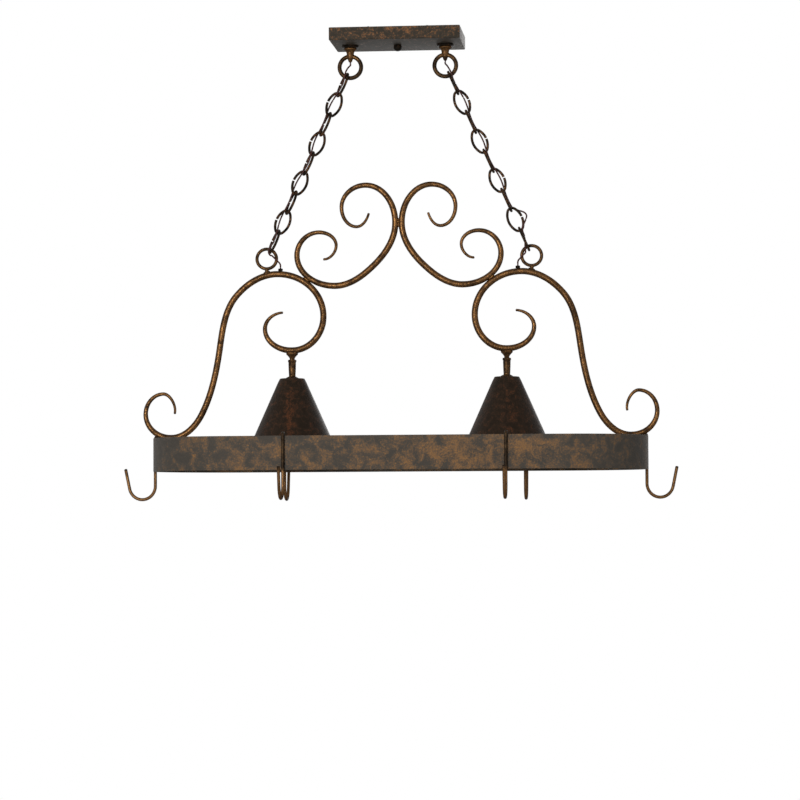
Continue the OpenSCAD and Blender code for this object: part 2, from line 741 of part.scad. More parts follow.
module lead_bushings() {
    color(DARK_IRON) both_sides(entry_x) translate([0, 0, ring_z + entry_z - bushing_h])
        difference() {
            union() {
                cylinder(d = bushing_d, h = bushing_h, $fn = 48);
                translate([0, 0, -bushing_stem_h])
                    cylinder(d = bushing_stem_d, h = bushing_stem_h + eps, $fn = 48);
            }
            translate([0, 0, -bushing_stem_h - eps])
                cylinder(d = lead_d + hole_play, h = bushing_h + bushing_stem_h + 2 * eps, $fn = 48);
        }
}

// Scroll frame
module upper_scroll(side) {
    color(IRON) on_side(side) translate([0, 0, ring_z])
        scroll_bar(UPPER_SCROLL, 0, len(UPPER_SCROLL) - 1);
}

// The lower scroll is a tube where the lead runs, from the arch's top to the downlight
module lower_scroll(side) {
    color(IRON) on_side(side) translate([0, 0, ring_z]) difference() {
        scroll_bar(LOWER_SCROLL, 0, len(LOWER_SCROLL) - 1);
        scroll_bar(LOWER_SCROLL, ARCH_KNOT, SEAT_KNOT, -tube_wall);
        translate([entry_x, 0, arch_z])
            cylinder(d = bushing_stem_d + hole_play / 2, h = tube_d, $fn = 48);
        translate([shade_x, 0, curl_z - tube_d]) cylinder(d = neck_bore, h = tube_d, $fn = 48);
    }
}

// Ring with a short lug that is welded to the arch under it
module hanging_ring(side) {
    color(IRON) on_side(side) translate([0, 0, ring_z]) difference() {
        translate([ring_x, 0, 0]) {
            upright_ring(ring_r, ring_wire);
            translate([0, 0, arch_z]) cylinder(d = lug_d, h = -arch_z - ring_r, $fn = 48);
        }
        translate([arch_at_ring[0], 0, arch_at_ring[1]]) rotate([0, 90 - arch_slope, 0])
            cylinder(d = tube_d + 2 * weld_gap, h = 4 * lug_d, center = true, $fn = 64);
    }
}

module rack_band() {
    color(IRON) translate([0, 0, ring_z + band_bottom]) difference() {
        linear_extrude(band_h) racetrack(band_len, band_depth);
        translate([0, 0, -eps]) linear_extrude(band_h + 2 * eps)
            racetrack(band_len - 2 * band_t, band_depth - 2 * band_t);
    }
}

// Flat bars across the band's ends, under the feet of the scrolls
module end_crossbars() {
    inset = 2 * (band_t + seat_gap);
    color(IRON) translate([0, 0, ring_z + crossbar_top - crossbar_t]) both_sides(0) intersection() {
        linear_extrude(crossbar_t) racetrack(band_len - inset, band_depth - inset);
        both_sides(foot_x) translate([-crossbar_w / 2, -band_depth / 2, 0])
            cube([crossbar_w, band_depth, crossbar_t]);
    }
}

// Downlights
module at_neck(side, z) {
    translate([side * shade_x, 0, ring_z + z]) children();
}

// Saddle cone under a scroll, with the spigot that carries the barrel
module neck_brackets() {
    r = bracket_d / 2;
    color(IRON) for (side = [-1, 1]) at_neck(side, bracket_top) rotate_extrude($fn = 64) polygon([
        [neck_bore / 2, 0], [r, 0], [r, -bracket_rim_h], [bracket_waist_d / 2, -bracket_h],
        [spigot_d / 2, -bracket_h], [spigot_d / 2, -bracket_h - spigot_h],
        [neck_bore / 2, -bracket_h - spigot_h]
    ]);
}

module neck_barrel(side) {
    r = barrel_d / 2;
    waist = r - 0.8;
    spigot_r = (spigot_d + seat_gap) / 2;
    nipple_r = (shade_nipple_d + seat_gap) / 2;
    pocket_z = -spigot_h - seat_gap;
    color(IRON) at_neck(side, barrel_top) rotate_extrude($fn = 64) polygon([
        [spigot_r, 0], [r - 0.6, 0], [r, -0.6], [r, -barrel_rim_h], [waist, -barrel_rim_h - 0.8],
        [barrel_foot_d / 2, -barrel_h], [nipple_r, -barrel_h], [nipple_r, barrel_thread - barrel_h],
        [neck_bore / 2, barrel_thread - barrel_h], [neck_bore / 2, pocket_z], [spigot_r, pocket_z]
    ]);
}

module shade_caps() {
    r = shade_cap_d / 2;
    bore = (shade_nipple_d + hole_play) / 2;
    color(IRON) for (side = [-1, 1]) at_neck(side, shade_top) rotate_extrude($fn = 64) polygon([
        [bore, 0], [r, 0], [r, 0.25 * shade_cap_h], [0.94 * r, 0.6 * shade_cap_h],
        [0.8 * r, 0.85 * shade_cap_h], [0.62 * r, shade_cap_h], [bore, shade_cap_h]
    ]);
}

// Hollow screws that clamp cap, shade and nut between barrel and lamp holder
module shade_nipples() {
    top = barrel_foot + barrel_thread - seat_gap;
    color(STEEL) for (side = [-1, 1]) at_neck(side, holder_top - holder_thread)
        bored(shade_nipple_d, neck_bore, top - holder_top + holder_thread);
}

module shade_nuts() {
    color(STEEL) for (side = [-1, 1]) at_neck(side, shade_inner - shade_nut_h)
        hex_nut(shade_nut_d, shade_nipple_d + seat_gap, shade_nut_h);
}

module shade(side) {
    hole = (shade_nipple_d + hole_play) / 2;
    top_r = shade_top_d / 2;
    rim_r = shade_rim_d / 2;
    inner_r = top_r + shade_sheet * shade_side - shade_wall;
    color(IRON) at_neck(side, shade_top) rotate_extrude($fn = 128) polygon([
        [hole, 0], [top_r, 0], [rim_r, -shade_h], [rim_r - shade_wall, -shade_h],
        [inner_r, -shade_sheet], [hole, -shade_sheet]
    ]);
}

// Shell that takes a screw-in lamp from below
module lampholder(side) {
    nipple_r = (shade_nipple_d + seat_gap) / 2;
    cap_r = holder_cap_d / 2;
    r = holder_d / 2;
    bore_r = lamp_bore_d / 2;
    color(BLACK_SHELL) at_neck(side, holder_top) rotate_extrude($fn = 96) polygon([
        [nipple_r, 0], [cap_r, 0], [cap_r, -holder_cap_h], [r, -holder_cap_h - 3], [r, -holder_h],
        [bore_r, -holder_h], [bore_r, lamp_bore_depth - holder_h], [0, lamp_bore_depth - holder_h],
        [0, -holder_wire_room], [nipple_r, -holder_wire_room]
    ]);
}

// Pot hooks
// A hook over a wall at x = 0: leg inside, shank and cup outside
module pot_hook() {
    bend_z = hook_bottom + hook_bend_r;
    u_room = asin(bead_room / hook_u_r);
    bend_room = asin(bead_room / hook_bend_r);
    translate([0, 0, hook_u_z]) {
        bent_bar(hook_u_r, hook_wire, u_room, 180 - u_room);
        both_sides(hook_u_r) wire_bead(hook_wire);
    }
    translate([-hook_u_r, 0, hook_u_z - hook_leg])
        cylinder(d = hook_wire, h = hook_leg - bead_room, $fn = 32);
    translate([hook_u_r, 0, bend_z]) {
        translate([0, 0, bead_room])
            cylinder(d = hook_wire, h = hook_u_z - bend_z - 2 * bead_room, $fn = 32);
        wire_bead(hook_wire);
    }
    translate([hook_u_r + hook_bend_r, 0, bend_z]) {
        bent_bar(hook_bend_r, hook_wire, 180 + bend_room, 360 - hook_lean - bend_room);
        rotate([0, hook_lean, 0]) translate([hook_bend_r, 0, 0]) {
            wire_bead(hook_wire);
            translate([0, 0, bead_room]) cylinder(d = hook_wire, h = hook_tip, $fn = 32);
        }
    }
}

// A hook on the band's straight front, face -1, or rear, face 1
module hook_on_side(x, face) {
    color(DARK_IRON) translate([x, face * (band_depth - band_t) / 2, ring_z])
        rotate([0, 0, face * 90]) pot_hook();
}

// A hook on one of the band's round ends, turned towards the rear
module hook_on_end(side, turn) {
    color(DARK_IRON) on_side(side) translate([band_end_x, 0, ring_z]) rotate([0, 0, turn])
        translate([(band_depth - band_t) / 2, 0, 0]) pot_hook();
}

canopy();
mounting_strap();
strap_screws();
canopy_stud();
cap_nut();
canopy_loop(-1);  // canopy_loop_left
canopy_loop(1);  // canopy_loop_right
loop_seat_washers();
loop_nipples();
loop_locknuts();
wire_connectors();
lead_canopy_part(-1);  // lead_left_canopy
lead_canopy_part(1);  // lead_right_canopy
for (i = [1 : LINKS]) {
    chain_link_at(-1, i);
    chain_link_at(1, i);
}
lead_chain_part(-1);  // lead_left_chain
lead_chain_part(1);  // lead_right_chain
upper_scroll(-1);  // upper_scroll_left
upper_scroll(1);  // upper_scroll_right
lower_scroll(-1);  // lower_scroll_left
lower_scroll(1);  // lower_scroll_right
hanging_ring(-1);  // hanging_ring_left
hanging_ring(1);  // hanging_ring_right
lead_bushings();
rack_band();
end_crossbars();
neck_brackets();
neck_barrel(-1);  // neck_barrel_left
neck_barrel(1);  // neck_barrel_right
shade_caps();
shade_nipples();
shade_nuts();
shade(-1);  // shade_left
shade(1);  // shade_right
lampholder(-1);  // lampholder_left
lampholder(1);  // lampholder_right
lead_frame_part(-1);  // lead_left_frame
lead_frame_part(1);  // lead_right_frame
hook_on_end(-1, left_hook_turn);  // pot_hook_left_end
hook_on_end(1, right_hook_turn);  // pot_hook_right_end
hook_on_side(front_left_hook_x, -1);  // pot_hook_front_left
hook_on_side(front_right_hook_x, -1);  // pot_hook_front_right
hook_on_side(rear_left_hook_x, 1);  // pot_hook_rear_left
hook_on_side(rear_right_hook_x, 1);  // pot_hook_rear_right
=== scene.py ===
"""Hanging pot rack with two downlights: bent wire, spun sheet, castings and their finishes.

Every size is in millimetres in the part's own frame, with the ceiling at 0 and Z up. A piece
becomes metres when it is made.
"""
import logging
import math
from dataclasses import dataclass, field
from enum import Enum
from typing import Callable, Optional, Sequence

import bmesh
import bpy
import numpy as np
from mathutils import Matrix, Vector


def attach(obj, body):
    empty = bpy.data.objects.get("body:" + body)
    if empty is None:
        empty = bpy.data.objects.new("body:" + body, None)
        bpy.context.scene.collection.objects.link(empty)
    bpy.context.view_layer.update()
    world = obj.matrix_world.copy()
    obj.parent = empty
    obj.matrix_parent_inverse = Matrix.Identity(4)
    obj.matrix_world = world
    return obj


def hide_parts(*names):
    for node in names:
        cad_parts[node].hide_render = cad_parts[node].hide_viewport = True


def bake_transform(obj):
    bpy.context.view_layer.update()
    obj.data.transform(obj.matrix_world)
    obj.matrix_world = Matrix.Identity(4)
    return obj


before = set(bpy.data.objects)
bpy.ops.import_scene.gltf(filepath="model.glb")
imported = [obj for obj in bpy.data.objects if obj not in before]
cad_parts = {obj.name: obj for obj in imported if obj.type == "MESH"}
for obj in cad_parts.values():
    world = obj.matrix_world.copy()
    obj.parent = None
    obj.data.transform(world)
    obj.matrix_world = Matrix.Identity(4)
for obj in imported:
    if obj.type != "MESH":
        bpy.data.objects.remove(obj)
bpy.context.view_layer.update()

LOG = logging.getLogger("pot_rack")
MM = 0.001
SMOOTH_BELOW = 38.0
FULL_TURN = 2 * math.pi
PLAIN_WEAR = 0.5
SEAT_GAP = 0.1
BOLT_PITCH, BOLT_DEPTH = 0.8, 0.35

Point = Sequence[float]
Profile = list[tuple[float, float]]


class Slot(Enum):
    """Material slots of the record."""

    IRON = "antique_iron"
    BAND = "band_iron"
    SHADE = "shade_iron"
    CHAIN = "chain_iron"
    HOOK = "hook_iron"
    ZINC = "zinc_steel"
    LEAD = "lead_sheath"
    HOLDER = "holder_shell"
    CONNECTOR = "connector_shell"


class Side(Enum):
    """The two halves of the rack."""

    LEFT = -1
    RIGHT = 1

    @property
    def word(self) -> str:
        """The side's name as it stands in the names of nodes and bodies."""
        return self.name.lower()


# ---------------------------------------------------------------- shapes


@dataclass
class Shape:
    """Corners and faces of a piece, in millimetres, with a wear value for each corner."""

    corners: np.ndarray = field(default_factory=lambda: np.zeros((0, 3)))
    faces: list[tuple[int, ...]] = field(default_factory=list)
    wear: np.ndarray = field(default_factory=lambda: np.zeros(0))

    def __add__(self, other: "Shape") -> "Shape":
        """Both shapes as one."""
        start = len(self.corners)
        return Shape(
            np.vstack([self.corners, other.corners]),
            self.faces + [tuple(i + start for i in f) for f in other.faces],
            np.concatenate([self.wear, other.wear]),
        )

    def moved(self, matrix: Matrix) -> "Shape":
        """This shape under a transform whose lengths are in millimetres.

        Args:
            matrix: the transform.

        Returns:
            The moved shape.
        """
        m = np.array(matrix)
        return Shape(self.corners @ m[:3, :3].T + m[:3, 3], self.faces, self.wear)

    def at(self, x: float = 0.0, y: float = 0.0, z: float = 0.0) -> "Shape":
        """This shape pushed along the axes."""
        return Shape(self.corners + np.array([x, y, z]), self.faces, self.wear)

    def on(self, side: Side) -> "Shape":
        """This shape, drawn for the right, on the given side."""
        return Shape(self.corners * np.array([side.value, 1, 1]), self.faces, self.wear)


def both_sides(shape: Shape) -> Shape:
    """A right-hand shape together with its mirror image."""
    return shape + shape.on(Side.LEFT)


def grid_faces(rows: int, columns: int, wrap_rows: bool) -> list[tuple[int, ...]]:
    """Quads of a grid whose columns close on themselves.

    Args:
        rows: number of rings.
        columns: corners in each ring.
        wrap_rows: whether the last ring joins the first.

    Returns:
        The faces as corner numbers.
    """
    faces = []
    for i in range(rows if wrap_rows else rows - 1):
        k = (i + 1) % rows
        for j in range(columns):
            n = (j + 1) % columns
            faces.append((i * columns + j, i * columns + n,
                          k * columns + n, k * columns + j))
    return faces


def stacked(rows: Sequence[Sequence[Point]]) -> Shape:
    """A closed body through outlines of equal count, with a face on both ends."""
    count = len(rows[0])
    last = (len(rows) - 1) * count
    faces = grid_faces(len(rows), count, False)
    faces += [tuple(range(count)), tuple(range(last, last + count))]
    corners = np.array(rows, float).reshape(-1, 3)
    return Shape(corners, faces, np.full(len(corners), PLAIN_WEAR))


def turned(profile_at: Callable[[float], Profile], sides: int) -> Shape:
    """A body of revolution about Z whose profile may change with the angle.

    Args:
        profile_at: gives the closed (radius, height) outline for an angle in radians.
        sides: number of profiles round the axis.

    Returns:
        The turned shape.
    """
    rings = []
    for j in range(sides):
        a = FULL_TURN * j / sides
        rings.append([(r * math.cos(a), r * math.sin(a), z) for r, z in profile_at(a)])
    corners = np.array(rings)
    count = corners.shape[1]
    faces = []
    for j in range(sides):
        n = (j + 1) % sides
        for i in range(count):
            k = (i + 1) % count
            faces.append((j * count + i, n * count + i, n * count + k, j * count + k))
    return Shape(corners.reshape(-1, 3), faces, np.full(sides * count, PLAIN_WEAR))


def lathe(profile: Profile, sides: int = 64) -> Shape:
    """A plain body of revolution about Z."""
    return turned(lambda _angle: profile, sides)


def eased(points: Profile, radius: float, steps: int = 3,
          keep: Sequence[int] = ()) -> Profile:
    """A closed outline with its corners rounded.

    Args:
        points: the corners of the outline.
        radius: the rounding, which shrinks where a side is too short for it.
        steps: pieces of each rounded corner.
        keep: numbers of the corners that stay sharp.

    Returns:
        The rounded outline.
    """
    rounded: Profile = []
    count = len(points)
    for i, corner in enumerate(points):
        p = Vector(corner)
        to_last = Vector(points[i - 1]) - p
        to_next = Vector(points[(i + 1) % count]) - p
        if i in keep or to_last.length < 1e-6 or to_next.length < 1e-6:
            rounded.append(tuple(p))
            continue
        cut = min(radius, 0.45 * to_last.length, 0.45 * to_next.length)
        a = p + to_last.normalized() * cut
        b = p + to_next.normalized() * cut
        for s in range(steps + 1):
            t = s / steps
            rounded.append(tuple(a * (1 - t) ** 2 + p * 2 * t * (1 - t) + b * t * t))
    return rounded


def ridge(z: float, angle: float, pitch: float) -> float:
    """How far a thread stands out at a height and an angle, from 0 to 1."""
    return abs(((z / pitch - angle / FULL_TURN) % 1.0) * 2 - 1)


def bolt_thread(radius: float, bottom: float, top: float) -> Shape:
    """A solid threaded rod along Z, its thread running out at both ends."""
    rows = int((top - bottom) / BOLT_PITCH * 6)
    root = radius - BOLT_DEPTH

    def profile(angle: float) -> Profile:
        points = [(0.0, bottom), (root, bottom)]
        for i in range(1, rows):
            z = bottom + (top - bottom) * i / rows
            ease = min(1.0, (z - bottom) / BOLT_PITCH, (top - z) / BOLT_PITCH)
            points.append((root + BOLT_DEPTH * ridge(z, angle, BOLT_PITCH) * ease, z))
        return points + [(root, top), (0.0, top)]

    return turned(profile, 36)


def threaded_tube(bore_r: float, root_r: float, depth: float, foot: float, top: float,
                  pitch: float, chamfer: float, rows: int, sides: int) -> Shape:
    """A hollow threaded rod along Z.

    Args:
        bore_r: radius of the bore.
        root_r: radius at the thread's root.
        depth: depth of the thread.
        foot: lower end.
        top: upper end.
        pitch: height of one turn.
        chamfer: chamfer of the bore's ends.
        rows: points along the thread.
        sides: profiles round the axis.

    Returns:
        The tube.
    """
    def profile(angle: float) -> Profile:
        points = [(bore_r + chamfer, foot), (root_r, foot)]
        for i in range(1, rows):
            z = foot + (top - foot) * i / rows
            points.append((root_r + depth * ridge(z, angle, pitch), z))
        return points + [(root_r, top), (bore_r + chamfer, top), (bore_r, top - chamfer),
                         (bore_r, foot + chamfer)]

    return turned(profile, sides)


def hex_nut(across: float, bore: float, height: float) -> Shape:
    """A chamfered hexagon nut standing on Z = 0, across its corners."""
    apothem = across / 2 * math.cos(math.pi / 6)
    crown = 0.97 * apothem

    def profile(angle: float) -> Profile:
        turn = (angle + math.pi / 6) % (math.pi / 3) - math.pi / 6
        reach = apothem / math.cos(math.pi / 6 - abs(turn))
        fall = (reach - crown) * math.tan(math.radians(30))
        lead_in = 0.35
        return [(bore + lead_in, 0), (crown, 0), (reach, fall), (reach, height - fall),
                (crown, height), (bore + lead_in, height), (bore, height - lead_in),
                (bore, lead_in)]

    return turned(profile, 72)


def transported_frames(path: np.ndarray, closed: bool) -> tuple[np.ndarray, np.ndarray]:
    """Two cross directions at each point of a path, without twist.

    Args:
        path: the points.
        closed: whether the last point joins the first.

    Returns:
        The first and the second cross direction for each point.
    """
    if closed:
        tangents = np.roll(path, -1, axis=0) - np.roll(path, 1, axis=0)
    else:
        tangents = np.gradient(path, axis=0)
    tangents /= np.linalg.norm(tangents, axis=1)[:, None]
    start = np.array([0.0, 1.0, 0.0])
    if abs(tangents[0] @ start) > 0.9:
        start = np.array([1.0, 0.0, 0.0])
    first = []
    u = start
    for d in tangents:
        u = u - d * (u @ d)
        u = u / np.linalg.norm(u)
        first.append(u)
    ups = np.array(first)
    return ups, np.cross(tangents, ups)


def bar(path: Sequence[Point], radii: Sequence[float] | float, sides: int = 20,
        closed: bool = False, wear: Optional[np.ndarray] = None, dome: float = 0.6) -> Shape:
    """Round bar or wire along a path.

    Args:
        path: the centre line.
        radii: one radius, or one for each point.
        sides: corners of a section.
        closed: whether the bar closes on itself.
        wear: wear for each point of the path.
        dome: height of the rounded ends, as a share of the radius.

    Returns:
        The bar.
    """
    points = np.array(path, float)
    reach = (np.full(len(points), radii, float) if np.isscalar(radii)
             else np.array(radii, float))
    worn = np.full(len(points), PLAIN_WEAR) if wear is None else np.array(wear, float)
    if not closed:
        points, reach, worn = domed_ends(points, reach, worn, dome)
    u, v = transported_frames(points, closed)
    a = np.arange(sides) * FULL_TURN / sides
    ring = np.cos(a)[None, :, None] * u[:, None] + np.sin(a)[None, :, None] * v[:, None]
    corners = points[:, None] + ring * reach[:, None, None]
    faces = grid_faces(len(points), sides, closed)
    if not closed:
        last = (len(points) - 1) * sides
        faces.append(tuple(range(sides))[::-1])
        faces.append(tuple(range(last, last + sides)))
    return Shape(corners.reshape(-1, 3), faces, np.repeat(worn, sides))


def domed_ends(points: np.ndarray, reach: np.ndarray, worn: np.ndarray,
               dome: float) -> tuple[np.ndarray, np.ndarray, np.ndarray]:
    """Adds the rings of a rounded end inside both ends of a path.

    Args:
        points: the centre line.
        reach: the radii.
        worn: the wear values.
        dome: height of an end as a share of its radius.

    Returns:
        The longer path, radii and wear.
    """
    steps = 4
    for _end in range(2):
        direction = points[0] - points[1]
        span = np.linalg.norm(direction)
        direction /= span
        height = min(dome * reach[0], 0.8 * span)
        tip, base = points[0], points[0] - direction * height
        turn = [math.pi / 2 * s / steps for s in range(steps + 1)]
        ring = np.array([base + direction * height * math.sin(t) for t in turn[::-1]])
        small = np.array([reach[0] * max(math.cos(t), 0.04) for t in turn[::-1]])
        points = np.vstack([ring, points[1:]])
        reach = np.concatenate([small, reach[1:]])
        worn = np.concatenate([np.full(len(ring), worn[0]), worn[1:]])
        points[0] = tip
        points, reach, worn = points[::-1], reach[::-1], worn[::-1]
    return points, reach, worn


def strip(path: Sequence[Point], outline: Profile) -> Shape:
    """A closed hoop with a fixed section, upright along Z.

    Args:
        path: closed line in the XY plane.
        outline: closed section, as (outwards, up).

    Returns:
        The hoop.
    """
    points = np.array(path, float)
    tangents = np.roll(points, -1, axis=0) - np.roll(points, 1, axis=0)
    tangents /= np.linalg.norm(tangents, axis=1)[:, None]
    out = np.cross(tangents, [0.0, 0.0, 1.0])
    section = np.array(outline)
    corners = (points[:, None] + out[:, None] * section[None, :, :1]
               + np.array([0, 0, 1.0]) * section[None, :, 1:])
    count = len(outline)
    return Shape(corners.reshape(-1, 3), grid_faces(len(points), count, True),
                 np.full(len(points) * count, PLAIN_WEAR))


def smooth_line(points: Sequence[Point], steps: int = 6) -> np.ndarray:
    """A smooth curve through every point of a route.

    Args:
        points: the route.
        steps: pieces between two points.

    Returns:
        The curve's points.
    """
    p = np.array(points, float)
    p = np.vstack([2 * p[0] - p[1], p, 2 * p[-1] - p[-2]])
    line = []
    for i in range(1, len(p) - 2):
        for s in range(steps):
            t = s / steps
            line.append(0.5 * (2 * p[i] + (p[i + 1] - p[i - 1]) * t
                               + (2 * p[i - 1] - 5 * p[i] + 4 * p[i + 1] - p[i + 2]) * t * t
                               + (3 * p[i] - p[i - 1] - 3 * p[i + 1] + p[i + 2]) * t ** 3))
    line.append(p[-2])
    return np.array(line)


def distance_along(points: np.ndarray) -> np.ndarray:
    """Each point's distance from the first, along the line."""
    return np.concatenate([[0], np.cumsum(np.linalg.norm(np.diff(points, axis=0), axis=1))])


def arc_points(centre: Point, radius: float, start: float, end: float,
               steps: int) -> np.ndarray:
    """Points of an arc in the XZ plane, angles in degrees from +X towards +Z."""
    a = np.radians(np.linspace(start, end, steps + 1))
    return np.stack([centre[0] + radius * np.cos(a), np.zeros(steps + 1),
                     centre[1] + radius * np.sin(a)], 1)


def weld_bead(path: Sequence[Point], radius: float, ripple: float = 1.6) -> Shape:
    """A short weld seam with the ripples of its puddles.

    Args:
        path: the seam's line.
        radius: the seam's mean radius.
        ripple: distance from one puddle to the next.

    Returns:
        The seam.
    """
    points = np.array(path, float)
    along = distance_along(points)
    even = np.linspace(0, along[-1], max(8, int(along[-1] / 0.3)))
    line = np.stack([np.interp(even, along, points[:, i]) for i in range(3)], 1)
    taper = np.sqrt(np.clip(np.minimum(even, even[-1] - even) / radius, 0.08, 1))
    waves = 1 + 0.1 * np.abs(np.sin(math.pi * even / ripple))
    return bar(line, radius * taper * waves, 12, dome=0.2)


# ---------------------------------------------------------------- materials


def linear(colour: str) -> tuple[float, float, float, float]:
    """A hex colour as linear RGBA."""
    parts = [int(colour[i:i + 2], 16) / 255 for i in (1, 3, 5)]
    return (*[c / 12.92 if c <= 0.04045 else ((c + 0.055) / 1.055) ** 2.4
              for c in parts], 1.0)


class Board:
    """Lays out the nodes of one material."""

    def __init__(self, name: str) -> None:
        """Starts a material with its shader and the object's own coordinates."""
        self.material = bpy.data.materials.new(name)
        self.material.use_nodes = True
        self.tree = self.material.node_tree
        self.shader = self.tree.nodes["Principled BSDF"]
        self.place = self.tree.nodes.new("ShaderNodeTexCoord").outputs["Object"]

    def link(self, source: bpy.types.NodeSocket, target: bpy.types.NodeSocket) -> None:
        """Joins two sockets."""
        self.tree.links.new(source, target)

    def put(self, socket: bpy.types.NodeSocket, value: object) -> None:
        """Sets a socket to a number or colour, or links it to another socket."""
        if isinstance(value, bpy.types.NodeSocket):
            self.link(value, socket)
        else:
            socket.default_value = value

    def set(self, name: str, value: object) -> None:
        """Sets or links one of the shader's own sockets."""
        self.put(self.shader.inputs[name], value)

    def noise(self, size_mm: float, detail: float = 3.0, rough: float = 0.55,
              bend: float = 0.0, stretch: Point = (1, 1, 1), shift: float = 0.0
              ) -> bpy.types.NodeSocket:
        """Noise whose features are about a given size.

        Args:
            size_mm: size of a feature.
            detail: octaves.
            rough: weight of the fine octaves.
            bend: distortion.
            stretch: scale along each axis.
            shift: offset, so that two noises differ.

        Returns:
            The noise value.
        """
        mapping = self.tree.nodes.new("ShaderNodeMapping")
        mapping.inputs["Location"].default_value = (shift, 1.7 * shift, 0.6 * shift)
        mapping.inputs["Scale"].default_value = stretch
        self.link(self.place, mapping.inputs["Vector"])
        node = self.tree.nodes.new("ShaderNodeTexNoise")
        node.inputs["Scale"].default_value = 1 / (size_mm * MM)
        node.inputs["Detail"].default_value = detail
        node.inputs["Roughness"].default_value = rough
        node.inputs["Distortion"].default_value = bend
        self.link(mapping.outputs["Vector"], node.inputs["Vector"])
        return node.outputs["Fac"]

    def math(self, operation: str, *values: object) -> bpy.types.NodeSocket:
        """One step of arithmetic on sockets or numbers."""
        node = self.tree.nodes.new("ShaderNodeMath")
        node.operation = operation
        for socket, value in zip(node.inputs, values):
            self.put(socket, value)
        return node.outputs["Value"]

    def span(self, value: object, low: float, high: float, to_low: float = 0.0,
             to_high: float = 1.0) -> bpy.types.NodeSocket:
        """Maps low..high to another range with soft ends."""
        node = self.tree.nodes.new("ShaderNodeMapRange")
        node.interpolation_type = "SMOOTHSTEP"
        for socket, number in zip(node.inputs, (value, low, high, to_low, to_high)):
            self.put(socket, number)
        return node.outputs["Result"]

    def mix(self, share: object, first: object, second: object) -> bpy.types.NodeSocket:
        """Blends two colours."""
        node = self.tree.nodes.new("ShaderNodeMix")
        node.data_type = "RGBA"
        self.put(node.inputs["Factor"], share)
        self.put([s for s in node.inputs if s.name == "A" and s.type == "RGBA"][0], first)
        self.put([s for s in node.inputs if s.name == "B" and s.type == "RGBA"][0], second)
        return [s for s in node.outputs if s.type == "RGBA"][0]

    def tones(self, share: object, low: float, high: float, first: str,
              second: str) -> None:
        """Colours the surface from one hex tone to another as a value rises."""
        self.set("Base Color",
                 self.mix(self.span(share, low, high), linear(first), linear(second)))

    def attribute(self, name: str) -> bpy.types.NodeSocket:
        """A value that the mesh carries at its corners."""
        node = self.tree.nodes.new("ShaderNodeAttribute")
        node.attribute_name = name
        return node.outputs["Fac"]

    def blob(self, centre_mm: Point, reach_mm: Point) -> bpy.types.NodeSocket:
        """1 at a place on the object, falling to 0 at a distance along each axis."""
        mapping = self.tree.nodes.new("ShaderNodeMapping")
        scale = [1 / (r * MM) for r in reach_mm]
        mapping.inputs["Scale"].default_value = scale
        mapping.inputs["Location"].default_value = [
            -c * MM * s for c, s in zip(centre_mm, scale)]
        self.link(self.place, mapping.inputs["Vector"])
        node = self.tree.nodes.new("ShaderNodeVectorMath")
        node.operation = "LENGTH"
        self.link(mapping.outputs["Vector"], node.inputs[0])
        return self.span(node.outputs["Value"], 0.0, 1.0, 1.0, 0.0)

    def bump(self, height: bpy.types.NodeSocket, depth_mm: float) -> None:
        """Gives the surface a relief of a real depth."""
        node = self.tree.nodes.new("ShaderNodeBump")
        node.inputs["Strength"].default_value = 1.0
        node.inputs["Distance"].default_value = depth_mm * MM
        self.link(height, node.inputs["Height"])
        self.link(node.outputs["Normal"], self.shader.inputs["Normal"])


@dataclass(frozen=True)
class Finish:
    """A surface finish, made into a material once."""

    name: str

    def material(self) -> bpy.types.Material:
        """The finish's material, made at its first use."""
        found = bpy.data.materials.get(self.name)
        if found is None:
            board = Board(self.name)
            self.dress(board)
            found = board.material
        return found

    def dress(self, board: Board) -> None:
        """Wires the finish's nodes."""
        raise NotImplementedError


@dataclass(frozen=True)
class Sponging:
    """A place where the copper cover is raised or lowered, for sponging and for painted
    highlight and shade: its centre, reach and extra cover.
    """

    centre: tuple[float, float, float]
    reach: tuple[float, float, float]
    extra: float


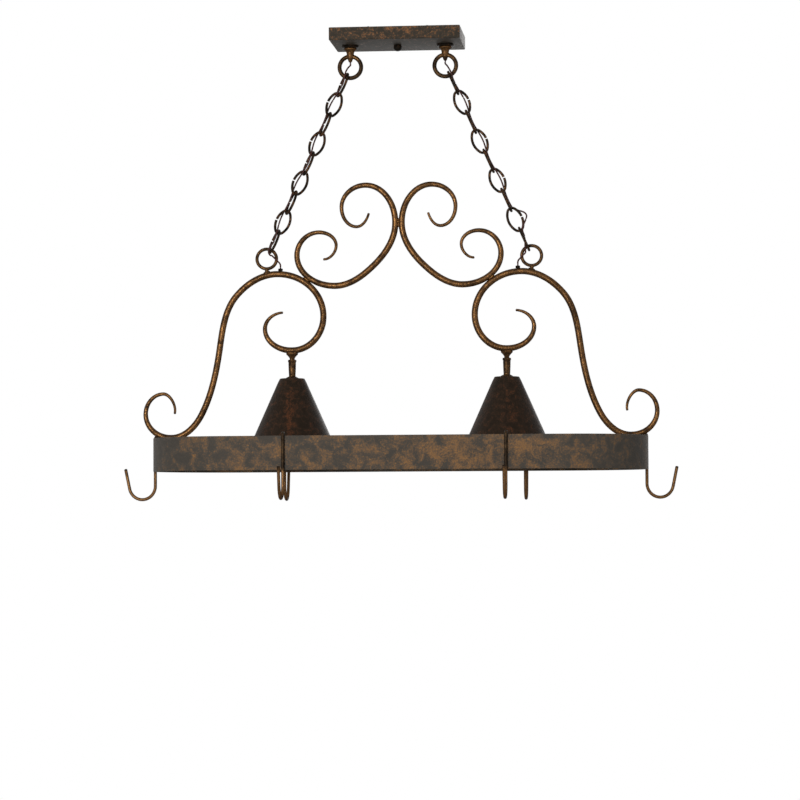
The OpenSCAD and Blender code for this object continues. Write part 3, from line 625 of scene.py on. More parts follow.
@dataclass(frozen=True)
class SpongedIron(Finish):
    """Dark painted iron with copper sponged over it and gold on the high spots."""

    ground: str = "#241b14"
    haze: str = "#34281c"
    copper: str = "#583c25"
    gold: str = "#75552c"
    cover: float = 0.5
    soft: float = 0.09
    patch_mm: float = 12.0
    fleck_mm: float = 1.8
    rough_ground: float = 0.46
    rough_copper: float = 0.42
    metal: float = 0.8
    edge: float = 0.0
    gloss: float = 0.2
    relief_mm: float = 0.05
    by_wear: float = 0.0
    places: tuple[Sponging, ...] = ()

    def dress(self, board: Board) -> None:
        """Wires patches, flecks, gold points, gloss and a fine relief."""
        patches = board.noise(self.patch_mm, 4, 0.6, 0.7)
        flecks = board.noise(self.fleck_mm, 3, 0.6, 0.4, shift=0.37)
        grain = board.noise(0.7, 2, 0.5, shift=0.81)
        height = board.math("MULTIPLY_ADD", patches, 0.62,
                            board.math("MULTIPLY", flecks, 0.38))
        # Places raise or lower the copper cover; on the shades this is a painted highlight, on
        # the band's round ends painted shade.
        for place in self.places:
            here = board.blob(place.centre, place.reach)
            height = board.math("MULTIPLY_ADD", here, place.extra, height)
        if self.by_wear:
            worn = board.math("SUBTRACT", board.attribute("wear"), PLAIN_WEAR)
            height = board.math("MULTIPLY_ADD", worn, self.by_wear, height)
        edge = 0.66 - 0.32 * self.cover
        share = board.span(height, edge - self.soft, edge + self.soft)
        spotted = board.math("MULTIPLY", share, board.span(grain, 0.25, 0.6, 0.7, 1.0))
        dark = board.mix(board.span(patches, 0.35, 0.65), linear(self.ground),
                         linear(self.haze))
        points = board.span(board.math("MULTIPLY", flecks, grain), 0.24, 0.36)
        bright = board.mix(points, linear(self.copper), linear(self.gold))
        board.set("Base Color", board.mix(spotted, dark, bright))
        board.set("Roughness",
                  board.span(share, 0.0, 1.0, self.rough_ground, self.rough_copper))
        board.set("Metallic",
                  board.span(share, 0.0, 1.0, 0.6 * self.metal, self.metal))
        board.set("Specular Tint", (self.edge, self.edge, self.edge, 1))
        board.set("Specular IOR Level", self.gloss)
        relief = board.math("MULTIPLY_ADD", grain, 0.4, board.math("ADD", flecks, share))
        board.bump(relief, self.relief_mm)


@dataclass(frozen=True)
class PlatedSteel(Finish):
    """Zinc plated steel with a faint grain and clouds in its passivation."""

    tone: str = "#a9abab"
    shade: str = "#86898b"

    def dress(self, board: Board) -> None:
        """Wires clouds and fine draw marks."""
        clouds = board.noise(5, 3, 0.6)
        marks = board.noise(0.5, 2, 0.5, stretch=(1, 1, 0.2), shift=0.3)
        board.tones(clouds, 0.35, 0.65, self.tone, self.shade)
        board.set("Roughness", board.span(marks, 0.3, 0.7, 0.26, 0.42))
        board.set("Metallic", 1.0)
        board.bump(marks, 0.02)


@dataclass(frozen=True)
class DrawnBrass(Finish):
    """Thin drawn brass of a lamp holder's screw shell."""

    tone: str = "#b8934a"
    tarnished: str = "#8a6a34"

    def dress(self, board: Board) -> None:
        """Wires a little tarnish."""
        tarnish = board.noise(4, 3, 0.6)
        board.tones(tarnish, 0.4, 0.7, self.tone, self.tarnished)
        board.set("Roughness", board.span(tarnish, 0.3, 0.7, 0.25, 0.45))
        board.set("Metallic", 1.0)


@dataclass(frozen=True)
class Moulded(Finish):
    """Moulded insulating shell."""

    tone: str = "#141414"
    shade: str = "#222120"
    rough: float = 0.42

    def dress(self, board: Board) -> None:
        """Wires the flow marks of the moulding."""
        flow = board.noise(6, 3, 0.55, 0.8)
        grain = board.noise(0.5, 2, 0.5, shift=0.5)
        board.tones(flow, 0.35, 0.7, self.tone, self.shade)
        board.set("Roughness",
                  board.span(flow, 0.3, 0.7, self.rough - 0.06, self.rough + 0.08))
        board.bump(grain, 0.02)


@dataclass(frozen=True)
class LeadSheath(Finish):
    """Red-brown sheath of a lamp lead, faintly ribbed by the wires inside."""

    tone: str = "#3f1811"
    shade: str = "#260d0a"

    def dress(self, board: Board) -> None:
        """Wires streaks along the lead."""
        streaks = board.noise(2.2, 3, 0.55, 0.5)
        board.tones(streaks, 0.35, 0.65, self.tone, self.shade)
        board.set("Roughness", board.span(streaks, 0.3, 0.7, 0.5, 0.6))
        board.set("Specular IOR Level", 0.2)
        board.bump(streaks, 0.05)


class Finishes:
    """Every finish of the rack."""

    scroll = SpongedIron("scroll_copper_rub", ground="#1f1812", haze="#2c2218",
                         copper="#523822", gold="#7a5830", cover=0.58, soft=0.18,
                         patch_mm=16, metal=0.9, rough_copper=0.38, relief_mm=0.02)
    weld = SpongedIron("weld_copper_rub", cover=0.8, soft=0.15, relief_mm=0.1)
    canopy = SpongedIron(
        "canopy_sponged", cover=0.16, ground="#35302a", haze="#3d3831", copper="#684831",
        gold="#7c5638", patch_mm=7, fleck_mm=2.4, metal=0.15, rough_ground=0.6,
        rough_copper=0.5, soft=0.07, places=(Sponging((0, -60, -9), (230, 14, 24), 0.065),))
    casting = SpongedIron("loop_casting_rub", copper="#503823", gold="#6c4e2b", cover=0.4,
                          soft=0.14, relief_mm=0.05, by_wear=0.3)
    band = SpongedIron(
        "band_sponged", ground="#423e39", haze="#4a453f", copper="#6d5239", gold="#7e5d3a",
        cover=0.3, patch_mm=20, fleck_mm=2.6, metal=0.12, rough_ground=0.62,
        rough_copper=0.55, soft=0.12,
        # More copper cover on the front, right of the middle.
        places=(Sponging((130, -125, -635), (190, 40, 45), 0.09),
                # Painted shade: less copper cover on both round ends, where they turn away
                # from the light.
                Sponging((335, 0, -630), (95, 170, 60), -0.1),
                Sponging((-335, 0, -630), (95, 170, 60), -0.1)))
    shade = SpongedIron(
        "shade_sponged", ground="#241d17", haze="#2c231c", copper="#472b1c", gold="#573623",
        cover=0.14, patch_mm=8, fleck_mm=1.6, metal=0.25, rough_ground=0.58,
        rough_copper=0.52, soft=0.12,
        # Painted highlight: extra copper glints in a vertical stripe on each shade's front,
        # where the key lamp's reflection falls.
        places=(Sponging((-160, -50, -575), (12, 60, 80), 0.11),
                Sponging((170, -50, -565), (14, 60, 60), 0.06)))
    chain = SpongedIron("chain_rub", ground="#191511", haze="#27211b", copper="#4a3020",
                        gold="#6a4a2c", cover=0.32, patch_mm=9, metal=0.6)
    hook = SpongedIron("hook_rub", ground="#1f1812", haze="#33281d", copper="#59402a",
                       gold="#755632", cover=0.5, soft=0.15, by_wear=0.6)
    trim = SpongedIron("trim_rub", cover=0.45, soft=0.15)
    dark = SpongedIron("dark_rub", ground="#14110e", haze="#1e1915", copper="#392517",
                       gold="#50351f", cover=0.25, metal=0.4)
    zinc = PlatedSteel("zinc_plate")
    brass = DrawnBrass("drawn_brass")
    shell = Moulded("moulded_shell")
    connector = Moulded("moulded_connector", tone="#171614", shade="#262422", rough=0.3)
    lead = LeadSheath("lead_sheath_brown")


# ---------------------------------------------------------------- making pieces


def make_mesh(name: str, shape: Shape) -> bpy.types.Mesh:
    """A clean mesh in metres from a shape.

    Args:
        name: the mesh's name.
        shape: the shape, in millimetres.

    Returns:
        The mesh, smooth where its faces meet at a blunt angle.
    """
    made = bmesh.new()
    layer = made.verts.layers.float.new("wear")
    corners = [made.verts.new(c) for c in shape.corners * MM]
    for corner, worn in zip(corners, shape.wear):
        corner[layer] = worn
    for face in shape.faces:
        try:
            made.faces.new([corners[i] for i in face])
        except ValueError:
            continue
    bmesh.ops.remove_doubles(made, verts=made.verts, dist=2e-6)
    bmesh.ops.dissolve_degenerate(made, edges=made.edges, dist=1e-6)
    bmesh.ops.recalc_face_normals(made, faces=made.faces)
    mesh = bpy.data.meshes.new(name)
    made.to_mesh(mesh)
    made.free()
    mesh.shade_smooth()
    mesh.set_sharp_from_angle(angle=math.radians(SMOOTH_BELOW))
    return mesh


def loose_object(name: str, shape: Shape) -> bpy.types.Object:
    """An object in the scene that isn't a piece yet."""
    thing = bpy.data.objects.new(name, make_mesh(name, shape))
    bpy.context.scene.collection.objects.link(thing)
    return thing


def settle(thing: bpy.types.Object) -> None:
    """Turns an object's modifiers into its mesh."""
    graph = bpy.context.evaluated_depsgraph_get()
    settled = bpy.data.meshes.new_from_object(thing.evaluated_get(graph))
    thing.modifiers.clear()
    thing.data = settled
    settled.shade_smooth()
    settled.set_sharp_from_angle(angle=math.radians(SMOOTH_BELOW))


def carve(thing: bpy.types.Object, cutter: Shape) -> None:
    """Takes a shape out of an object.

    Args:
        thing: the object, changed in place.
        cutter: what is taken out.
    """
    tool = loose_object("cutter", cutter)
    cut = thing.modifiers.new("cut", "BOOLEAN")
    cut.operation = "DIFFERENCE"
    cut.solver = "EXACT"
    cut.use_self = True
    cut.object = tool
    settle(thing)
    bpy.data.objects.remove(tool)


def finish_piece(thing: bpy.types.Object, body: Optional[str], finish: Finish,
                 nodes: Sequence[str] = ()) -> bpy.types.Object:
    """Dresses an object and hangs it on its body.

    Args:
        thing: the object.
        body: the body it rides on, or None to leave it unattached.
        finish: its finish.
        nodes: the nodes it stands for.

    Returns:
        The object.
    """
    thing.data.materials.clear()
    thing.data.materials.append(finish.material())
    if body is not None:
        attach(thing, body)
    if nodes:
        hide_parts(*nodes)
    LOG.info("piece %s on %s, %d faces", thing.name, body, len(thing.data.polygons))
    return thing


def piece(name: str, shape: Shape, body: Optional[str], finish: Finish,
          nodes: Sequence[str] = ()) -> bpy.types.Object:
    """Makes, dresses and hangs a piece; see finish_piece for the arguments."""
    return finish_piece(loose_object(name, shape), body, finish, nodes)


# ---------------------------------------------------------------- canopy


@dataclass
class Canopy:
    """Ceiling canopy with its strap, screws, stud and cap nut."""

    length: float = 195
    depth: float = 115
    height: float = 19
    sheet: float = 1.2
    corner_r: float = 2.5
    bend_r: float = 1.6
    loop_x: float = 71.5
    nipple_hole: float = 10.6
    stud_d: float = 4.1
    strap: tuple[float, float, float] = (108, 16, 2.5)
    screw_x: float = 44.45
    slot_reach: float = 9.5
    screw_d: float = 4.1
    neck_d: float = 3.5
    screw_reach: float = 10
    cross: tuple[float, float] = (4, 0.8)
    stud_nut_d: float = 8.6
    stud_nut_h: float = 3.2
    nut_d: float = 12
    nut_h: float = 9.5

    def rounded_loop(self, inset: float, z: float) -> list[Point]:
        """One level line of the pressed pan.

        Args:
            inset: distance inside the outer wall.
            z: height.

        Returns:
            Its points.
        """
        r = max(self.corner_r - inset, 0.25)
        x, y = self.length / 2 - inset - r, self.depth / 2 - inset - r
        loop = []
        for quarter, (cx, cy) in enumerate(((x, y), (-x, y), (-x, -y), (x, -y))):
            for s in range(7):
                a = math.pi / 2 * (quarter + s / 6)
                loop.append((cx + r * math.cos(a), cy + r * math.sin(a), z))
        return loop

    def pan(self) -> Shape:
        """The pressed pan as a closed shell, before its holes."""
        rows: list[list[Point]] = [self.rounded_loop(self.sheet - 0.3, 0),
                                   self.rounded_loop(0.3, 0), self.rounded_loop(0, -0.3)]
        for s in range(7):
            a = math.pi / 2 * s / 6
            rows.append(self.rounded_loop(self.bend_r * (1 - math.cos(a)),
                                          -self.height + self.bend_r * (1 - math.sin(a))))
        inner_r = self.bend_r - self.sheet
        floor = -self.height + self.sheet
        inside: list[list[Point]] = []
        for s in range(5):
            a = math.pi / 2 * s / 4
            inside.append(self.rounded_loop(
                self.sheet + inner_r * (1 - math.cos(a)),
                floor + inner_r * (1 - math.sin(a))))
        inside.insert(0, self.rounded_loop(self.sheet, -0.3))
        return stacked(inside[::-1] + rows)

    def pressed_pan(self) -> None:
        """Makes the pan with its three holes."""
        pan = loose_object("canopy_pan", self.pan())
        holes = both_sides(lathe([(0, -25), (self.nipple_hole / 2, -25),
                                  (self.nipple_hole / 2, -12), (0, -12)]).at(self.loop_x))
        stud = (self.stud_d + 0.4) / 2
        carve(pan, holes + lathe([(0, -25), (stud, -25), (stud, -12), (0, -12)]))
        finish_piece(pan, "canopy", Finishes.canopy, ["canopy"])

    def plate_with_slots(self) -> None:
        """Makes the strap with its two slots and the stud's hole."""
        length, width, thick = self.strap
        outline = eased([(length / 2, width / 2), (-length / 2, width / 2),
                         (-length / 2, -width / 2), (length / 2, -width / 2)], 3.0, 6)
        rows = []
        for grow, z in ((-0.3, 0), (0, -0.3), (0, 0.3 - thick), (-0.3, -thick)):
            rows.append([(x * (1 + 2 * grow / length), y * (1 + 2 * grow / width), z)
                         for x, y in outline])
        strap = loose_object("canopy_strap", stacked(rows))
        slot_r = (self.screw_d + 0.4) / 2
        middle = self.screw_x - self.slot_reach / 2
        cut = [(middle + sign * self.slot_reach / 2 + slot_r * math.cos(a),
                slot_r * math.sin(a))
               for sign, start in ((1, -math.pi / 2), (-1, math.pi / 2))
               for a in np.linspace(start, start + math.pi, 13)]
        cutter = stacked([[(x, y, z) for x, y in cut] for z in (-thick - 1, 1)])
        stud = (self.stud_d + SEAT_GAP) / 2
        carve(strap, both_sides(cutter) + lathe([(0, -4), (stud, -4), (stud, 1), (0, 1)]))
        finish_piece(strap, "canopy", Finishes.zinc, ["mounting_strap"])

    def fasteners(self) -> None:
        """Makes the ceiling box screws, the stud with its nut, and the cap nut."""
        thick = self.strap[2]
        head = lathe(eased([(0, 0), (3.8, 0), (3.8, -1.1), (2.6, -2.6), (0, -2.6)], 0.5,
                           keep=(0, 4)), 40).at(z=-thick)
        neck = lathe([(0, -thick - 0.3), (self.neck_d / 2, -thick - 0.3),
                      (self.neck_d / 2, 0.3), (0, 0.3)], 40)
        shaft = neck + bolt_thread(self.screw_d / 2, 0, self.screw_reach)
        screws = loose_object("ceiling_box_screws",
                              both_sides((head + shaft).at(self.screw_x)))
        for long_x, long_y in (self.cross, self.cross[::-1]):
            arm = stacked([[(x * long_x / 2, y * long_y / 2, z)
                            for x, y in ((1, 1), (-1, 1), (-1, -1), (1, -1))]
                           for z in (-6, -3.9)]).at(self.screw_x)
            carve(screws, both_sides(arm))
        finish_piece(screws, "canopy", Finishes.zinc, ["strap_screws"])
        stud = bolt_thread(self.stud_d / 2, -self.height - self.nut_h + 3.1, -0.3)
        nut = hex_nut(self.stud_nut_d, (self.stud_d + SEAT_GAP) / 2,
                      self.stud_nut_h).at(z=-thick - self.stud_nut_h)
        piece("canopy_stud_and_nut", stud + nut, "canopy", Finishes.zinc,
              ["canopy_stud"])
        self.cap_nut()

    def cap_nut(self) -> None:
        """Makes the knurled cap nut with its domed end."""
        r, h, base = self.nut_d / 2, self.nut_h, -self.height - self.nut_h
        bore = (self.stud_d + SEAT_GAP) / 2

        def profile(angle: float) -> Profile:
            knurl = 0.22 * abs(math.sin(15 * angle))
            return [(0, base), (0.35 * r, base + 0.15), (0.62 * r, base + 0.7),
                    (0.8 * r, base + 1.5), (0.9 * r, base + 2.4), (0.93 * r, base + 3.2),
                    (r - knurl, base + 3.8), (r - knurl, base + h - 1.6),
                    (0.92 * r, base + h - 1.1), (0.92 * r, base + h - 0.3),
                    (0.88 * r, base + h), (bore, base + h), (bore, base + 3), (0, base + 3)]

        piece("canopy_cap_nut", turned(profile, 120), "canopy", Finishes.dark,
              ["cap_nut"])

    def build(self) -> None:
        """Makes every piece of the canopy itself."""
        self.pressed_pan()
        self.plate_with_slots()
        self.fasteners()


@dataclass
class CanopyLoops:
    """The two cast loops with washers, nipples, locknuts and wire connectors."""

    x: float = 71.5
    washer_d: float = 24.8
    washer_top: float = -19
    washer_t: float = 3.5
    bell_d: float = 19
    ring_z: float = -51.4
    ring_r: float = 16.3
    wire: float = 6.2
    nipple_d: float = 10.2
    nipple_bore: float = 6.5
    nub_d: float = 9
    nub_tip_d: float = 5
    nub_z: float = -43.7
    lead_bore: float = 3.4
    connector_x: float = 28
    connector_y: float = 32
    connector_z: float = -10.2
    canopy_sheet: float = 1.2
    locknut_d: float = 16
    locknut_h: float = 4
    nipple_past: float = 1.3
    nipple_down: float = 6
    nipple_pitch: float = 0.94

    def casting(self, side: Side) -> None:
        """Makes one cast loop: bell, neck and ring grown together."""
        top = self.washer_top - self.washer_t
        r = self.bell_d / 2
        ring_top = self.ring_z + self.ring_r + self.wire / 2
        bell = lathe([
            (0, top), (r - 0.9, top), (r - 0.25, top - 0.25), (r, top - 0.9), (r, top - 1.9),
            (r - 0.3, top - 2.6), (0.86 * r, top - 3.4), (0.72 * r, top - 4.6),
            (0.62 * r, top - 6.2), (0.56 * r, ring_top + 0.6), (0.54 * r, ring_top - 2.6),
            (0.5 * r, ring_top - 4.6), (self.nub_d / 2 - 0.1, ring_top - 6.2),
            (0.8 * self.nub_d / 2, ring_top - 7.8), (self.nub_tip_d / 2, self.nub_z + 0.4),
            (self.nub_tip_d / 2 - 0.4, self.nub_z), (0, self.nub_z)], 72)
        turn = np.linspace(0, FULL_TURN, 97)[:-1]
        circle = np.stack([self.ring_r * np.cos(turn), 0 * turn,
                           self.ring_z + self.ring_r * np.sin(turn)], 1)
        loop = loose_object(f"canopy_loop_casting_{side.word}",
                            bell + bar(circle, self.wire / 2, 24, closed=True))
        fuse = loop.modifiers.new("fuse", "REMESH")
        fuse.mode = "VOXEL"
        fuse.voxel_size = 0.42 * MM
        ease = loop.modifiers.new("ease", "SMOOTH")
        ease.factor, ease.iterations = 0.5, 10
        settle(loop)
        self.grow_back(loop)
        bore = self.lead_bore / 2
        nipple, floor = (self.nipple_d + SEAT_GAP) / 2, top - self.nipple_down - SEAT_GAP
        carve(loop, lathe([(0, self.nub_z - 1), (bore, self.nub_z - 1), (bore, floor),
                           (nipple, floor), (nipple, top + 1), (0, top + 1)]))
        self.set_wear(loop)
        loop.data.transform(Matrix.Translation((side.value * self.x * MM, 0, 0)))
        finish_piece(loop, "canopy", Finishes.casting,
                     [f"canopy_loop_{side.word}"])

    @staticmethod
    def grow_back(loop: bpy.types.Object) -> None:
        """Pushes the smoothed casting out to its real thickness."""
        for corner in loop.data.vertices:
            corner.co += corner.normal * 0.1 * MM

    def set_wear(self, loop: bpy.types.Object) -> None:
        """Marks the bell and neck as rubbed brighter than the ring below them."""
        data = loop.data
        low, high = (self.ring_z + 6) * MM, self.nub_z * MM + 9 * MM
        wear = [0.25 + 0.6 * min(1, max(0, (v.co.z - low) / (high - low)))
                for v in data.vertices]
        layer = data.attributes.get("wear") or data.attributes.new("wear", "FLOAT", "POINT")
        layer.data.foreach_set("value", wear)

    def stacked_pieces(self) -> None:
        """Makes the washers, nipples and locknuts of both loops."""
        hole = (self.nipple_d + 0.4) / 2
        top = self.washer_top
        washer = lathe(eased([(hole, top), (self.washer_d / 2, top),
                              (self.washer_d / 2, top - self.washer_t),
                              (hole, top - self.washer_t)], 0.7), 72)
        piece("loop_washers", both_sides(washer.at(self.x)), "canopy", Finishes.dark,
              ["loop_seat_washers"])
        depth = 0.4
        tube = threaded_tube(self.nipple_bore / 2, self.nipple_d / 2 - depth, depth,
                             top - self.washer_t - self.nipple_down,
                             top + self.canopy_sheet + self.locknut_h + self.nipple_past,
                             self.nipple_pitch, 0.3, 110, 48)
        piece("loop_threaded_nipples", both_sides(tube.at(self.x)), "canopy",
              Finishes.zinc, ["loop_nipples"])
        nut = hex_nut(self.locknut_d, (self.nipple_d + SEAT_GAP) / 2,
                      self.locknut_h).at(self.x, 0, top + self.canopy_sheet)
        piece("loop_hex_locknuts", both_sides(nut), "canopy", Finishes.zinc,
              ["loop_locknuts"])

    def connectors(self) -> None:
        """Makes the ribbed twist-on connectors of the two leads."""
        def profile(angle: float) -> Profile:
            rib = 0.35 * abs(math.cos(8 * angle))
            points = [(1.4, 8), (1.4, 0.4), (2.0, 0), (5.6, 0), (6.3, 0.5), (6.5, 1.4),
                      (6.4, 3.6), (5.9, 4.2)]
            points += [(6.0 - 0.075 * z - rib, 4.4 + z) for z in np.linspace(0, 12.6, 8)]
            return points + [(4.5, 18.2), (4.1, 19.4), (3.2, 19.9), (0, 20), (0, 8)]

        turn = Matrix.Rotation(math.radians(-90), 4, "Y")
        cone = turned(profile, 96).moved(turn).at(self.connector_x, self.connector_y,
                                                  self.connector_z)
        piece("lead_twist_connectors", both_sides(cone), "canopy", Finishes.connector,
              ["wire_connectors"])

    def build(self) -> None:
        """Makes every piece of the two loops."""
        for side in Side:
            self.casting(side)
        self.stacked_pieces()
        self.connectors()


# ---------------------------------------------------------------- chains and leads


@dataclass
class ChainLine:
    """The line of a chain from a canopy loop's ring to a hanging ring."""

    links: int = 9
    link_len: float = 40.3
    link_w: float = 25
    wire: float = 4
    end_r: float = 7
    joint_gap: float = 1.4
    link_gap: float = 0.2
    loop_x: float = 71.5
    loop_ring_z: float = -51.4
    ring_x: float = 199
    loop_ring_r: float = 16.3
    loop_wire: float = 6.2
    ring_r: float = 14.8
    ring_wire: float = 5
    move_gap: float = 0.3
    sway_gap: float = 1.2
    left_turn: float = -25

    def __post_init__(self) -> None:
        """Works out the chain's pitch, length and lean."""
        self.pitch = self.link_len - 2 * self.wire - self.link_gap
        self.start = self.loop_ring_r - (self.loop_wire + self.wire) / 2 - self.move_gap
        end = self.ring_r - (self.ring_wire + self.wire) / 2 - self.move_gap
        self.length = (self.start + (self.links - 1) * self.pitch
                       + self.link_len - self.wire + end)
        run = self.ring_x - self.loop_x
        self.drop = math.sqrt(self.length ** 2 - run ** 2)
        self.lean = math.asin(run / self.length)
        self.ring_z = self.loop_ring_z - self.drop
        self.half = (self.link_len - self.wire) / 2

    def place(self, side: Side, i: float) -> float:
        """Distance from the canopy ring's centre to the middle of link i."""
        if side is Side.LEFT:
            return self.start + self.half + (i - 1) * self.pitch
        opened = min(max(i - 2, 0), self.links - 3)
        return (self.start + self.half + (i - 1) * self.pitch
                + opened * (self.sway_gap - self.move_gap) / (self.links - 3))

    def turn(self, side: Side) -> float:
        """How far a chain has turned about its own line, in degrees."""
        return self.left_turn if side is Side.LEFT else 0.0

    def beside(self, out: float, back: float, down: float) -> Point:
        """A point beside the right chain's line."""
        return (self.loop_x + out * math.cos(self.lean) + down * math.sin(self.lean), back,
                self.loop_ring_z + out * math.sin(self.lean) - down * math.cos(self.lean))

    def body_of(self, side: Side, i: int) -> str:
        """The body that link i belongs to."""
        if i == 1:
            return f"top_link_{side.word}"
        if i == self.links:
            return f"bottom_link_{side.word}"
        return f"chain_{side.word}"


@dataclass
class Chains:
    """The two chains of open-jointed oval links."""

    line: ChainLine

    def link(self) -> Shape:
        """One link along Z, its open joint in the side at +X."""
        c = self.line
        a, b, r = c.half, (c.link_w - c.wire) / 2, c.end_r
        side_r = ((a - r) ** 2 + b * b - r * r) / (2 * (b - r))
        angle = math.degrees(math.atan2(a - r, side_r - b))
        shift = side_r - b
        gap = math.degrees(math.asin(c.joint_gap / 2 / side_r))
        path = np.vstack([
            arc_points((-shift, 0), side_r, gap, angle, 8),
            arc_points((0, a - r), r, angle, 180 - angle, 18)[1:],
            arc_points((shift, 0), side_r, 180 - angle, 180 + angle, 18)[1:],
            arc_points((0, r - a), r, 180 + angle, 360 - angle, 18)[1:],
            arc_points((-shift, 0), side_r, -angle, -gap, 8)[1:]])
        bends = np.abs(path[:, 2]) / a
        return bar(path, c.wire / 2, 18, wear=0.35 + 0.4 * bends ** 3, dome=0.18)

    def build(self) -> None:
        """Makes the eighteen links."""
        c = self.line
        plain = self.link()
        for side in Side:
            for i in range(1, c.links + 1):
                spin = math.radians((i % 2) * 90 + c.turn(side))
                place = (Matrix.Translation((c.loop_x, 0, c.loop_ring_z))
                         @ Matrix.Rotation(-c.lean, 4, "Y")
                         @ Matrix.Translation((0, 0, -c.place(side, i)))
                         @ Matrix.Rotation(spin, 4, "Z"))
                piece(f"{side.word}_chain_oval_link_{i}", plain.moved(place).on(side),
                      c.body_of(side, i), Finishes.chain,
                      [f"chain_{side.word}_link_{i}"])


@dataclass
class Scroll:
    """A bar bent through knots: across, up, heading in degrees and diameter."""

    knots: list[tuple[float, float, float, float]]
    steps: int = 26

    @staticmethod
    def handle(turn: float) -> float:
        """Share of the way to the next knot that a Bezier handle takes."""
        turn = math.radians(turn)
        return 1 / (3 * math.cos(turn / 4) ** 2 * math.cos(turn / 2))

    def point(self, k: int, t: float) -> tuple[float, float, float]:
        """A point of the curve after knot k.

        Args:
            k: number of the knot.
            t: share of the way to the next knot.

        Returns:
            Across, up and diameter.
        """
        (px, pz, pa, pd), (qx, qz, qa, qd) = self.knots[k], self.knots[k + 1]
        p, q = np.array([px, pz]), np.array([qx, qz])
        u = np.array([math.cos(math.radians(pa)), math.sin(math.radians(pa))])
        v = np.array([math.cos(math.radians(qa)), math.sin(math.radians(qa))])
        h = self.handle(min(90, abs((qa - pa + 540) % 360 - 180)))
        a = p + u * h * abs((q - p) @ u)
        b = q - v * h * abs((q - p) @ v)
        c = ((1 - t) ** 3 * p + 3 * (1 - t) ** 2 * t * a
             + 3 * (1 - t) * t * t * b + t ** 3 * q)
        return float(c[0]), float(c[1]), pd + (qd - pd) * t

    def curve(self, first: int = 0, last: Optional[int] = None) -> np.ndarray:
        """The curve from one knot to another, as rows of across, up and diameter."""
        end = len(self.knots) - 1 if last is None else last
        rows = [self.point(k, s / self.steps) for k in range(first, end)
                for s in range(self.steps)]
        return np.array(rows + [self.point(end - 1, 1)])

    def shape(self, z: float) -> Shape:
        """The bar on the right side, with the faint waves of its forging.

        Args:
            z: height of the knots' zero.

        Returns:
            The bar.
        """
        rows = self.curve()
        path = np.stack([rows[:, 0], 0 * rows[:, 0], rows[:, 1] + z], 1)
        along = distance_along(path)
        radii = rows[:, 2] / 2
        hammered = 1 + 0.008 * np.sin(along / 3.1) * np.sin(along / 7.3 + 1)
        return bar(path, radii * hammered, 28)


